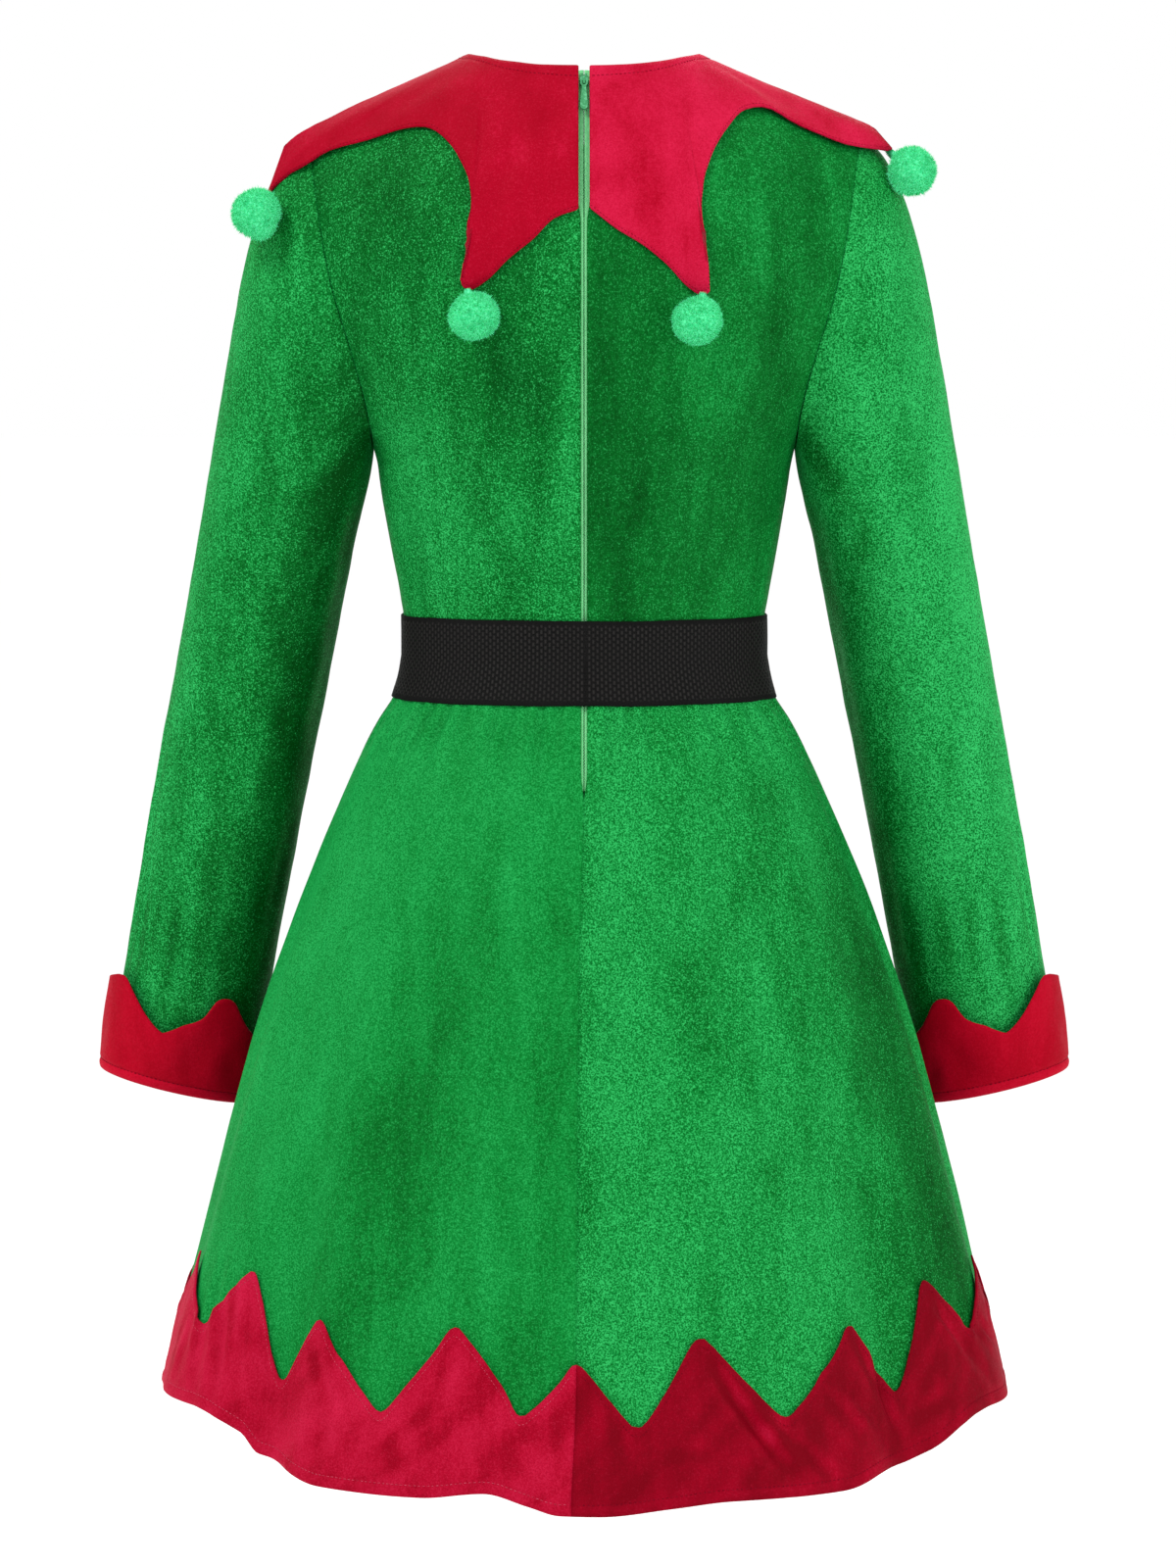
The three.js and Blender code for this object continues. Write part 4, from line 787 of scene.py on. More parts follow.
def sleeve_grid(sgn, listed, seed):
    v = np.r_[np.linspace(0, 5, 46)[:-1], np.linspace(5, 8, 34)[:-1], np.linspace(8, 11, 74)][:, None]
    u = (np.arange(92) * 2 * PI / 92)[None, :]
    g = sleeve_point(u + 0 * v, v + 0 * u)
    centre = g.mean(1, keepdims=True)
    away = g - centre
    n = outwards(grid_normals(g, True), away)
    down = 20 - g[..., 2] + 0 * u
    along = np.clip(down, 0, 700)
    round_ = (g[..., 0] * 0 + (u / DEG))
    radius = 50.0
    h = np.zeros(down.shape)
    for a0, d0, a1, d1, w, k, bow in listed:
        for turn in (-360, 0, 360):
            if min(abs(a0 + turn - 180), abs(a1 + turn - 180)) < 240:
                h += creases(round_ * DEG * radius, along, [((a0 + turn) * DEG * radius, d0, (a1 + turn) * DEG * radius, d1, w, k, bow)])
    h += 0.45 * ripple(radius * np.cos(u) + 300 + 0 * v, along + radius * np.sin(u) + 300, 24, seed)
    # Seam along the underarm, and the turned edge at the armhole.
    under = np.minimum(u, 2 * PI - u) * radius
    h -= 0.7 * np.exp(-((under / 1.8) ** 2))
    from_seam = v * 16
    h = h * np.clip(from_seam / 14, 0, 1) - 0.25 * np.exp(-((from_seam / 2.0) ** 2))
    # Small gathers where the cuff is sewn on.
    end = (11 - v) * 124
    h += 0.5 * np.sin(u * 23 + 1.3 * np.sin(3 * u + seed)) * np.exp(-((end / 14) ** 2)) * (0.5 + 0.5 * ripple(round_, 0 * round_, 40, seed + 3))
    h = h * np.clip(end / 3, 0, 1)
    p = g + n * h[..., None]
    # Painted light and shade on the two sides of each crease, over a random tone.
    flank_light_and_shade = np.clip((np.roll(h, -1, 1) - np.roll(h, 1, 1)) * 0.13, -0.14, 0.14)
    tone = 0.10 * ripple(round_ * 0.9, along, 42, seed + 9) + 0.05 + flank_light_and_shade
    # Painted shade: darker along the side that faces the body and below the armhole. Painted light: a lighter streak
    # down the back of the sleeve towards its outer side, and the right sleeve lighter all over, most at mid length.
    tone = tone - 0.22 * np.exp(-(((round_ - 30) / 26) ** 2)) - 0.10 * np.exp(-(((round_ - 330) / 24) ** 2))
    tone = tone - 0.14 * np.exp(-(((round_ - 55) / 30) ** 2)) * np.exp(-(((along - 330) / 150) ** 2))
    tone = tone + 0.10 * np.exp(-(((round_ - 150) / 20) ** 2)) * np.clip((along - 60) / 100, 0, 1)
    tone = tone + (0.16 + 0.14 * np.exp(-(((along - 330) / 130) ** 2)) if sgn < 0 else 0.0 * along)
    p[..., 0] *= sgn
    return p, away * np.array([sgn, 1, 1]), tone


for sgn, side, listed, seed in ((1, "left", SLEEVE_LEFT, 21), (-1, "right", SLEEVE_RIGHT, 22)):
    g, away, tone = sleeve_grid(sgn, listed, seed)
    o = shell(f"sleeve_{side}_velvet", g, away, 1.3, GREEN, GREEN_BACK, closed=True, tone=tone)
    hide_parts(f"sleeve_{side}")
    note(o)

# ---------------------------------------------------------------- cuffs

CUFF_WALL = 1.6
cuff_edge = np.array([
    (-94, 57), (-86, 60), (-76, 61.5), (-62, 64.5), (-54, 65), (-49, 62.5), (-44, 58), (-37, 52), (-30, 45.5), (-21, 38.5), (-14, 34.5), (-6, 39), (-1, 42.5),
    (7, 46), (12, 49.5), (15.5, 56), (18, 61.5), (22, 64), (28, 64.5), (33, 62), (38, 55), (45, 47.5), (56, 40), (70, 34), (80, 39), (92, 44),
    (98, 48), (103, 55.5), (108, 60.5), (113, 62), (120, 61), (126, 56.5), (134, 47), (146, 39), (160, 34), (172, 39.5), (182, 44),
    (188, 49), (193, 56.5), (198, 61), (204, 62.5), (211, 61), (217, 55.5), (226, 46), (237, 38.5), (249, 34), (258, 42), (262, 50),
], float)


def cuff_high(at):
    """Height of the pointed edge above the fold, rounded over at its tips."""
    a = np.r_[cuff_edge[-4:, 0] - 360, cuff_edge[:, 0], cuff_edge[:4, 0] + 360]
    z = np.r_[cuff_edge[-4:, 1], cuff_edge[:, 1], cuff_edge[:4, 1]]
    return sum(np.interp(at + d, a, z) * w for d, w in ((-1.6, 0.25), (0, 0.5), (1.6, 0.25)))


a10 = np.array([(sleeve("outX", 10) + sleeve("inX", 10)) / 2, sleeve("lie", 10), (sleeve("outZ", 10) + sleeve("inZ", 10)) / 2])
a11 = np.array([(sleeve("outX", 11) + sleeve("inX", 11)) / 2, sleeve("lie", 11), (sleeve("outZ", 11) + sleeve("inZ", 11)) / 2])
ARM_ALONG = (a11 - a10) / np.linalg.norm(a11 - a10)
arm_wide = np.array([sleeve("outX", 11) - sleeve("inX", 11), 0, sleeve("outZ", 11) - sleeve("inZ", 11)])
ARM_HALF = np.linalg.norm(arm_wide) / 2
ARM_WIDE = arm_wide / (2 * ARM_HALF)
ARM_DEEP = float(sleeve("deep", 11))


def cuff_point(at, out, down):
    a = at * DEG
    across_ = -(ARM_HALF + out) * np.sin(a)
    return (
        a11
        + across_[..., None] * ARM_WIDE
        + np.stack([GAP * 2 + 0 * a, (ARM_DEEP + out) * np.cos(a), 0 * a], -1)
        + (down + 3 * GAP)[..., None] * ARM_ALONG
    )


# Profile of the turn-up: down inside the sleeve's line, round the fold and up outside it.
CUFF_TURN = Table(["t", "out", "down"], [
    [0, -1.7, 0], [1, -1.7, 3], [2, -1.5, 6.5], [3, -0.7, 9.2], [4, 0.9, 11.0], [5, 2.8, 11.5], [6, 4.6, 10.6], [7, 5.5, 8.0],
])
CUFF_FOLDS = {
    "left": [(-78, 14, -70, 40, 7, -0.9, 1), (-30, 10, -44, 30, 8, -0.8, -2), (8, 12, 20, 44, 7, -1.1, 2), (44, 10, 34, 36, 6, -0.9, -1), (76, 12, 64, 26, 7, -0.9, 1),
             (110, 12, 118, 44, 7, -1.0, 2), (150, 10, 160, 28, 8, -0.8, 1), (198, 12, 206, 46, 7, -1.0, -2), (240, 10, 250, 30, 7, -0.9, 1)],
    "right": [(-80, 12, -66, 42, 7, -1.0, -1), (-34, 12, -24, 28, 8, -0.9, 2), (12, 10, 24, 40, 7, -1.0, -2), (50, 12, 40, 34, 6, -1.0, 1), (80, 10, 70, 28, 7, -0.8, -1),
              (106, 10, 116, 46, 7, -1.1, -2), (152, 12, 158, 26, 8, -0.9, -1), (200, 10, 210, 42, 7, -1.0, 2), (244, 12, 252, 28, 7, -0.9, -1)],
}


def cuff_grid(sgn, side, seed):
    at = np.linspace(-84, 276, 181)[:-1][None, :]
    high = cuff_high(at)
    rows, ups = [], []
    # The opening slants a little: its fold hangs lower on the side that faces the body.
    drop = 2.6 + 1.8 * np.sin(at[0] * DEG)
    for t in np.linspace(0, 7, 15):
        rows.append(cuff_point(at[0], CUFF_TURN("out", t) + 0 * at[0], CUFF_TURN("down", t) + drop * min(1, t / 3)))
        ups.append(0 * at[0])
    marks = [4.3, 5.0, 5.6, 6.2, 6.8, 7.4, 8.1, 9.0, 10.2]
    for s in marks + list(np.linspace(0, 1, 19)[1:]):
        # Distance from the fold: the first rows run level beside the stitching, the others share out the rest.
        f = (s - 3.5) / (high[0] + drop - 3.5) if s > 1.01 else (6.7 + (high[0] + drop - 10.2) * s) / (high[0] + drop - 3.5)
        out = 5.5 + 2.7 * f
        # The band bows out a little below its points, and its sewn foot stays tight.
        rows.append(cuff_point(at[0], out + 0.9 * np.sin(PI * f), 8.0 + drop + (3.5 - drop - high[0]) * f))
        ups.append(3.5 + (high[0] + drop - 3.5) * f)
    g, up = np.stack(rows), np.stack(ups)
    centre = a11 + ARM_ALONG * 0
    rel = g - centre
    rel = rel - (rel @ ARM_ALONG)[..., None] * ARM_ALONG
    away = rel.copy()
    away[:15] = 0
    n = outwards(grid_normals(g, True), away)
    hh = 0 * up
    for a0, d0, a1, d1, w, k, bow in CUFF_FOLDS[side]:
        for turn in (-360, 0, 360):
            hh += creases((at + 0 * up) * DEG * 46, up, [((a0 + turn) * DEG * 46, d0, (a1 + turn) * DEG * 46, d1, w, k, bow)])
    hh += 0.35 * ripple((46 * np.sin(at * DEG)) + 200 + 0 * up, up + 46 * np.cos(at * DEG), 15, seed)
    # The line of stitches near the fold pulls the cloth in.
    hh *= np.clip(up / 12, 0, 1)
    hh -= 0.8 * np.exp(-(((up - 6.5) / 1.1) ** 2)) * (up > 0)
    p = g + n * np.minimum(hh, 1.2)[..., None]
    tone = 0.12 * ripple((at + 100) + 0 * up, up, 30, seed + 4)
    tone = tone + 0.34 * (up < 6.4) + 0.02
    p[..., 0] *= sgn
    away[..., 0] *= sgn
    return p, away, tone, at, up, n


for sgn, side, seed in ((1, "left", 41), (-1, "right", 42)):
    g, away, tone, at, up, n = cuff_grid(sgn, side, seed)
    o = shell(f"cuff_{side}_velvet", g, away, CUFF_WALL, RED_CUFF, RED_BACK, closed=True, free=("top",), tone=tone)
    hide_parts(f"cuff_{side}")
    note(o)
    # Stitches above the fold.
    line, normals = [], []
    for i in range(g.shape[1]):
        k = 15 + int(np.clip(np.searchsorted(up[15:, i], 6.5), 1, len(up) - 16))
        w = (6.5 - up[k - 1, i]) / (up[k, i] - up[k - 1, i])
        line.append(g[k - 1, i] * (1 - w) + g[k, i] * w)
        nn = away[k, i]
        normals.append(nn)
    line = np.array(line + line[:1])
    normals = unit(np.array(normals + normals[:1]))
    s = stitches(f"cuff_{side}_stitches", line, normals, 2.9, 2.1, 0.5, RED_THREAD_DARK, lift=0.1, seed=seed)

# ---------------------------------------------------------------- skirt

skirt_section = Table(
    ["z", "half", "back", "front", "squareBack", "squareFront"],
    [
        [-346, 112.3, 77, 95.5, 2, 2],
        [-358.5, 114.6, 80, 98, 2, 2],
        [-371, 118.5, 85, 102, 2, 2],
        [-387, 128, 93, 109, 2.05, 2],
        [-402, 136.4, 99, 115, 2.1, 2],
        [-433, 150.6, 109.5, 124, 2.15, 2],
        [-464, 163.3, 118.5, 132, 2.2, 2],
        [-510, 180.7, 130.5, 142, 2.25, 2],
        [-572, 201.9, 146, 154, 2.3, 2],
        [-634, 219.1, 159, 165, 2.35, 2],
        [-712, 239.6, 175, 178, 2.35, 2.02],
        [-805.6, 263.4, 193, 193, 2.38, 2.05],
        [-850, 274, 200, 200, 2.4, 2.05],
    ],
)
hem = Table(["at", "z"], [
    [-180, -838], [-150, -836], [-120, -822], [-90, -802], [-76, -803], [-65, -803], [-60, -805], [-56, -810], [-50, -823.5], [-46, -829],
    [-40, -831], [-33, -837], [-18, -839], [-11, -843], [-2, -847.6], [3, -847], [7, -841.5], [12.5, -834], [20, -837],
    [34, -835], [39, -831], [46, -825.5], [48, -824], [51, -811.5], [60, -800], [75, -799], [90, -803], [120, -822], [150, -836], [180, -838],
])
# Largest folds: angle, how far out (+) or in (-) at the hem, width in degrees, and where down the skirt they start.
FOLDS = [
    (46, -18, 6.5, 0.15), (-46, -17, 6.5, 0.2), (20, 4, 9, 0.3), (-22, 4, 9, 0.25), (68, 4, 8, 0.3), (-70, 4, 8, 0.3),
    (134, -15, 8, 0.2), (-131, -14, 8, 0.25), (165, 6, 9, 0.3), (-160, 6, 9, 0.3), (180, -5, 9, 0.3),
]
# Smaller creases of the skirt: angle and height at each end, width in mm, height, bow in degrees.
SKIRT_CREASES = [
    # gathers under the belt
    (57, -372, 56, -398, 3.4, -1.6, 0), (51, -371, 50, -392, 3.0, -1.4, 0), (44, -372, 44, -404, 3.6, -1.5, 0), (38, -371, 38, -388, 2.8, -1.1, 0),
    (27, -372, 26, -392, 3.0, -1.2, 0), (21.5, -371, 21, -402, 3.4, -1.8, 0), (17.5, -371, 17, -396, 2.8, -1.6, 0), (12.5, -371, 13, -406, 3.4, -2.0, 0), (8, -371, 8.6, -394, 2.8, -1.4, 0),
    (-8, -371, -8.4, -400, 3.0, -1.8, 0), (-13, -371, -12.4, -394, 3.0, -1.7, 0), (-18, -371, -18.4, -388, 2.6, -1.2, 0), (-31, -371, -31, -392, 3.2, -1.2, 0), (-39, -371, -38, -398, 3.4, -1.3, 0),
    (-47, -372, -48, -394, 3.0, -1.2, 0), (-56, -372, -55, -400, 3.4, -1.4, 0), (-66, -372, -66, -396, 3.2, -1.4, 0), (70, -372, 70, -396, 3.4, -1.4, 0), (80, -372, 80, -392, 3.0, -1.2, 0), (-79, -372, -80, -398, 3.2, -1.4, 0),
    (98, -372, 98, -398, 3.4, -1.4, 0), (108, -372, 107, -392, 3.0, -1.2, 0), (117, -372, 118, -404, 3.6, -1.6, 0), (127, -372, 126, -394, 3.0, -1.2, 0), (138, -372, 139, -402, 3.4, -1.5, 0),
    (149, -372, 149, -392, 3.0, -1.2, 0), (158, -372, 157, -404, 3.4, -1.7, 0), (168, -372, 168, -394, 2.8, -1.2, 0), (177, -372, 178, -400, 3.4, -1.5, 0), (-98, -372, -97, -396, 3.4, -1.3, 0),
    (-107, -372, -108, -402, 3.2, -1.5, 0), (-118, -372, -118, -392, 3.0, -1.2, 0), (-128, -372, -129, -404, 3.4, -1.6, 0), (-139, -372, -138, -394, 3.0, -1.3, 0), (-150, -372, -151, -400, 3.4, -1.5, 0),
    (-160, -372, -160, -392, 2.8, -1.2, 0), (-170, -372, -169, -402, 3.4, -1.6, 0),
    # long soft falls
    (7, -430, 6, -780, 15, -2.6, 0.6), (30, -470, 24, -800, 26, -3.2, 2), (58, -460, 60, -700, 20, -2.4, -2), (76, -480, 78, -790, 16, -3.2, 1),
    (-12, -520, -14, -800, 22, -2.0, -1), (-32, -450, -34, -690, 24, -2.6, 2), (-60, -470, -58, -760, 20, -3.0, 2), (-78, -440, -80, -790, 16, -3.4, -1), (-24, -620, -20, -822, 14, -1.6, 1),
    (98, -480, 96, -800, 18, -3.2, 2), (116, -460, 118, -760, 20, -3.4, -2), (150, -470, 148, -800, 20, -3.2, 2), (172, -500, 174, -790, 18, -2.4, -1), (-98, -470, -100, -790, 18, -3.2, 2),
    (-114, -450, -112, -780, 20, -3.2, -2), (-146, -480, -148, -800, 20, -3.4, 2), (-172, -450, -170, -760, 18, -2.6, 1), (184, -620, 186, -820, 14, -1.8, 0),
    # short breaks near the hem
    (62, -716, 60, -800, 4.5, -2.2, 0.6), (57.5, -728, 56, -806, 4.5, -2.0, -0.5), (52.5, -740, 53, -812, 4.0, -1.8, 0.4), (66, -740, 67, -794, 5, -1.4, 0),
    (-17, -764, -25, -826, 4.5, -1.8, -0.5), (-21.5, -790, -28, -836, 4.5, -2.2, 0.4), (-35, -778, -44, -818, 4.5, -2.4, -0.5), (-43, -752, -45.5, -812, 4.0, -2.2, 0.3),
    (-58, -742, -66, -788, 4.5, -1.8, 0.6), (-64, -736, -61, -772, 4.0, -1.4, 0), (-31, -806, -36, -832, 4, -1.6, 0), (15, -796, 12, -838, 7, -1.5, 0), (34, -796, 37, -832, 7, -1.6, 0),
    (104, -760, 99, -806, 5, -2.0, 0.6), (124, -770, 128, -822, 5, -2.0, -0.5), (141, -780, 137, -828, 5, -2.2, 0.5), (158, -770, 162, -832, 6, -1.8, -0.6), (-104, -764, -100, -808, 5, -2.0, 0.5),
    (-122, -756, -127, -820, 5, -2.2, -0.5), (-140, -790, -136, -830, 5, -2.0, 0.5), (-166, -780, -162, -834, 6, -1.8, 0.5), (175, -790, 178, -836, 6, -1.6, 0),
]
SKIRT_CREASES = [(c[0], c[1], c[2], c[3] - 12, c[4] * 1.15, c[5] * 1.9, c[6]) if c[1] > -374 and c[4] < 4 else c for c in SKIRT_CREASES]
lean = Table(["z", "x"], [[-860, 7.9], [-847, 7.9], [-780, 5], [-545, 3], [-440, 0.2], [-430, 0], [-300, 0]])


def turn_to(a):
    return (np.asarray(a) + 180) % 360 - 180


def skirt_plain(at, z):
    a = at * DEG
    s, c = np.sin(a), np.cos(a)
    back = c >= 0
    n = np.where(back, skirt_section("squareBack", z), skirt_section("squareFront", z))
    d = np.where(back, skirt_section("back", z), skirt_section("front", z))
    r = (np.abs(s) ** n + np.abs(c) ** n) ** (-1 / n)
    x, y = skirt_section("half", z) * r * s, d * r * c
    t = (z - WAIST) / (hem("z", turn_to(at)) - WAIST)
    f = 0
    for k, out, wide, start in FOLDS:
        f = f + out * np.exp(-((turn_to(at - k) / wide) ** 2)) * np.maximum(0, (t - start) / (1 - start)) ** 1.3
    l = np.hypot(x, y)
    return np.stack([x * (1 + f / l), y * (1 + f / l), z + 0 * at], -1)


def skirt_height(at, z):
    """Height of the cloth over the plain form, in mm."""
    h = 0.0
    round_ = turn_to(at)
    for a0, z0, a1, z1, w, k, bow in SKIRT_CREASES:
        for turn in (-360, 0, 360):
            if abs((a0 + a1) / 2 + turn) < 230:
                scale = float(skirt_section("half", (z0 + z1) / 2)) * DEG * 0.92
                h = h + creases(round_ * scale, z, [((a0 + turn) * scale, z0, (a1 + turn) * scale, z1, w, k, bow * scale)])
    # Round the body, the unevenness is taken from a place on a circle, so that it has no join.
    a = round_ * DEG
    h = h + (0.9 * ripple(130 * np.cos(a) + 500, 130 * np.sin(a) + 500 + z * 0.35, 44, 51) + 0.35 * ripple(150 * np.cos(a) + 700, 150 * np.sin(a) + 700 + z * 0.5, 19, 52)) * np.clip((-376 - z) / 90, 0, 1)
    return h


def lean_at(at, z):
    """Moves the centre back seam as it falls, without changing the surface."""
    shift = lean("x", z) / (skirt_section("back", z) * 1.02) / DEG * 0.72
    near = np.clip(1 - np.abs(at) / 11, 0, 1)
    return at + shift * near


def skirt_surface(at, z, open_at=None):
    g = skirt_plain(at, z)
    n = unit(np.stack([g[..., 0] / 1.0, g[..., 1] * 1.35, 0 * g[..., 0] + 0.28 * np.hypot(g[..., 0], g[..., 1])], -1))
    return g + n * skirt_height(at, z)[..., None], n


def back_at(sgn, at, z):
    """Angle of a back panel's column, opened at centre back for the zip."""
    start = np.arcsin(zip_half("half", z) / skirt_section("half", z)) / DEG
    return sgn * (start + at * (90 - start) / 90)


def skirt_grid(kind, nu, nv):
    t = np.linspace(0, 1, nv)[:, None]
    t = t * 0.72 + 0.28 * t**0.6 * t
    if kind == "front":
        at = np.linspace(90, 270, nu)[None, :] + 0 * t
    else:
        at = np.linspace(0, 90, nu)[None, :] + 0 * t
    sgn = {"left": 1, "right": -1, "front": 1}[kind]
    for _ in range(3):
        h = hem("z", turn_to(sgn * at)) + 0.4
        z = (WAIST - GAP / 2) + t * (h - (WAIST - GAP / 2))
        real = at if kind == "front" else lean_at(back_at(sgn, at, z), z)
    h = hem("z", turn_to(real)) + 0.4
    z = (WAIST - GAP / 2) + t * (h - (WAIST - GAP / 2))
    g, n = skirt_surface(real, z)
    dip = 0 * z
    if kind != "front":
        edge = np.abs(at) * DEG * skirt_section("half", z)
        dip -= 0.6 * np.exp(-((edge / 1.5) ** 2))
        far = (90 - np.abs(at)) * DEG * skirt_section("back", z)
        dip -= 0.8 * np.exp(-((far / 2.0) ** 2))
    else:
        for c in (90, 270):
            dip -= 0.8 * np.exp(-((np.abs(at - c) * DEG * skirt_section("front", z) / 2.0) ** 2))
    g = g + n * dip[..., None]
    g[..., 1] += {"front": -1, "left": 1, "right": 1}[kind] * SEAM
    return g, real, z, n


def skirt_tone(at, z, kind):
    a = turn_to(at) * DEG
    t = 0.10 * ripple(150 * np.cos(a) + 500, 150 * np.sin(a) + 500 + 0.25 * z, 34, 61)
    # Painted light and shade over a random tone: both back panels painted lighter all over; on the left, lighter still
    # near its side and in a patch below the belt, with painted shade along a slanting fold and beside centre back; on
    # the right, lighter beside centre back, with painted shadows low on its side and near the middle.
    if kind == "left":
        t = t + 0.20 + 0.16 * np.exp(-(((at - 70) / 26) ** 2)) - 0.14 * np.exp(-(((at - 28 + (z + 600) * 0.04) / 12) ** 2)) * np.clip((-430 - z) / 160, 0, 1)
        t = t - 0.10 * np.exp(-(((at - 6) / 5) ** 2)) * np.clip((-400 - z) / 100, 0, 1)
        t = t + 0.08 * np.exp(-(((at - 14) / 9) ** 2)) * np.exp(-(((z + 460) / 70) ** 2))
    elif kind == "right":
        t = t + 0.16 + 0.10 * np.exp(-(((at + 8) / 8) ** 2)) - 0.30 * np.exp(-(((at + 64) / 15) ** 2)) * np.clip((-420 - z) / 120, 0, 1) - 0.06 * np.exp(-(((at + 38) / 10) ** 2)) * np.exp(-(((z + 540) / 120) ** 2))
    return t


for kind, name, nu, nv in (("left", "skirt_back_left", 118, 150), ("right", "skirt_back_right", 118, 150), ("front", "skirt_front", 150, 110)):
    g, real, z, n = skirt_grid(kind, nu, nv)
    held = {"first": 1, "last": 1} if kind == "front" else {"first": 0, "last": 1}
    o = shell(f"{name}_velvet", g, n, 1.3, GREEN, GREEN_BACK, held=held, free=("top",), tone=skirt_tone(real, z, kind))
    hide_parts(name)
    note(o)

# ---------------------------------------------------------------- hem trim

trim_nodes = np.array([
    (-180, 96), (-171, 46), (-161.5, 96), (-152.5, 46), (-142, 96), (-132, 46), (-122, 96), (-111, 46), (-99, 94), (-87, 46), (-75, 90),
    (-63.5, 46), (-54.5, 90), (-47, 42), (-38, 95), (-26, 45), (-15.5, 99), (-7.5, 48), (0, 91), (8, 50), (17.5, 101), (26.5, 46),
    (38, 97), (46, 44), (53, 93), (62.5, 46), (74, 90), (87, 46), (99, 94), (111, 46), (122, 96), (132, 46), (142, 96), (152.5, 46),
    (161.5, 96), (171, 46), (180, 96),
])


# The stitched points near the back seam come out a little taller than the marks, drawn up by the seam.
for mark, more in ((-15.5, 4.5), (0, 4.5), (17.5, 4.5), (-38, 1.8), (-54.5, 7), (-47, -3), (38, 3), (53, 4.5), (74, 1.5), (-75, 1.5)):
    trim_nodes[np.argmin(np.abs(trim_nodes[:, 0] - mark)), 1] += more


def trim_high(at):
    """Height of the zigzag edge, with its points a little rounded and its sides a little uneven."""
    a = turn_to(at)
    h = sum(np.interp(np.clip(a + d, -180, 180), trim_nodes[:, 0], trim_nodes[:, 1]) * w for d, w in ((-0.9, 0.22), (-0.35, 0.28), (0.35, 0.28), (0.9, 0.22)))
    return h + 1.3 * ripple((a + 400) * 3.4, 0 * a, 9, 71) + 0.5 * ripple((a + 400) * 3.4, 0 * a, 4, 72)


# Creases of the hem band, as (angle, mm above the hem): soft falls on the left, sharper breaks on the right.
TRIM_CREASES = [
    (63, 96, 62, 20, 3.0, -1.2, 0.5), (60, 84, 56, 14, 3.4, -1.4, -0.4), (56.5, 90, 52, 22, 3.0, -1.0, 0.3), (54, 70, 53, 20, 2.6, 0.8, 0), (68, 60, 70, 20, 5, -0.9, 0), (75, 64, 76, 24, 5, -1.0, 0),
    (39, 86, 33, 44, 4, -0.9, 0), (35, 40, 33, 16, 6, -0.8, 0), (24, 40, 22, 14, 6, -0.8, 0), (17.5, 92, 19, 50, 5, -0.7, 0), (12, 46, 6, 18, 6, -0.7, 0), (3, 70, 2.4, 16, 4, -0.8, 0),
    (-4, 70, -5.5, 30, 4, -1.0, 0), (-11, 36, -21, 22, 3.6, -1.0, -0.3), (-17.5, 82, -26, 16, 2.6, -1.7, 0.4), (-20, 68, -30, 14, 3.0, 1.3, 0.4), (-24, 46, -31, 12, 3.2, -1.6, 0.3), (-28, 30, -32, 8, 2.6, -1.2, 0),
    (-32, 60, -37.5, 26, 3.0, -1.6, -0.4), (-35, 44, -40, 30, 2.6, 1.2, 0), (-39, 84, -45, 34, 3.2, -1.3, 0.5), (-43.5, 66, -46.5, 14, 2.6, -1.8, 0.3), (-29, 22, -31, 6, 2.0, -1.0, 0), (-27.5, 20, -29, 6, 1.8, -0.9, 0),
    (-56, 74, -60, 46, 2.6, -1.5, 0), (-60, 80, -68, 34, 3.0, -1.6, 0.4), (-67, 50, -76, 26, 3.0, -1.3, 0), (-72, 60, -77, 30, 2.6, 1.0, 0), (-50, 26, -58, 18, 4, -1.0, 0), (-83, 60, -84, 20, 4, -1.2, 0),
    (88, 60, 87, 18, 4, -1.0, 0), (99, 84, 103, 20, 4, -1.3, 0.5), (112, 44, 110, 14, 4, -1.1, 0), (121, 84, 127, 22, 3.6, -1.5, -0.5), (136, 60, 132, 12, 3.6, -1.6, 0), (143, 80, 146, 20, 4, -1.2, 0),
    (156, 60, 153, 16, 4, -1.3, 0.4), (163, 82, 166, 22, 4, -1.2, 0), (174, 60, 172, 16, 4, -1.1, 0), (-178, 82, -176, 24, 4, -1.2, 0), (-168, 50, -171, 14, 4, -1.3, 0), (-161, 84, -157, 22, 4, -1.2, 0.5),
    (-148, 64, -150, 16, 4, -1.2, 0), (-141, 84, -134, 20, 3.6, -1.5, 0.5), (-126, 60, -130, 12, 3.4, -1.6, 0), (-119, 80, -115, 22, 4, -1.3, 0), (-106, 56, -109, 14, 4, -1.2, 0), (-98, 82, -94, 22, 4, -1.2, 0.4),
]


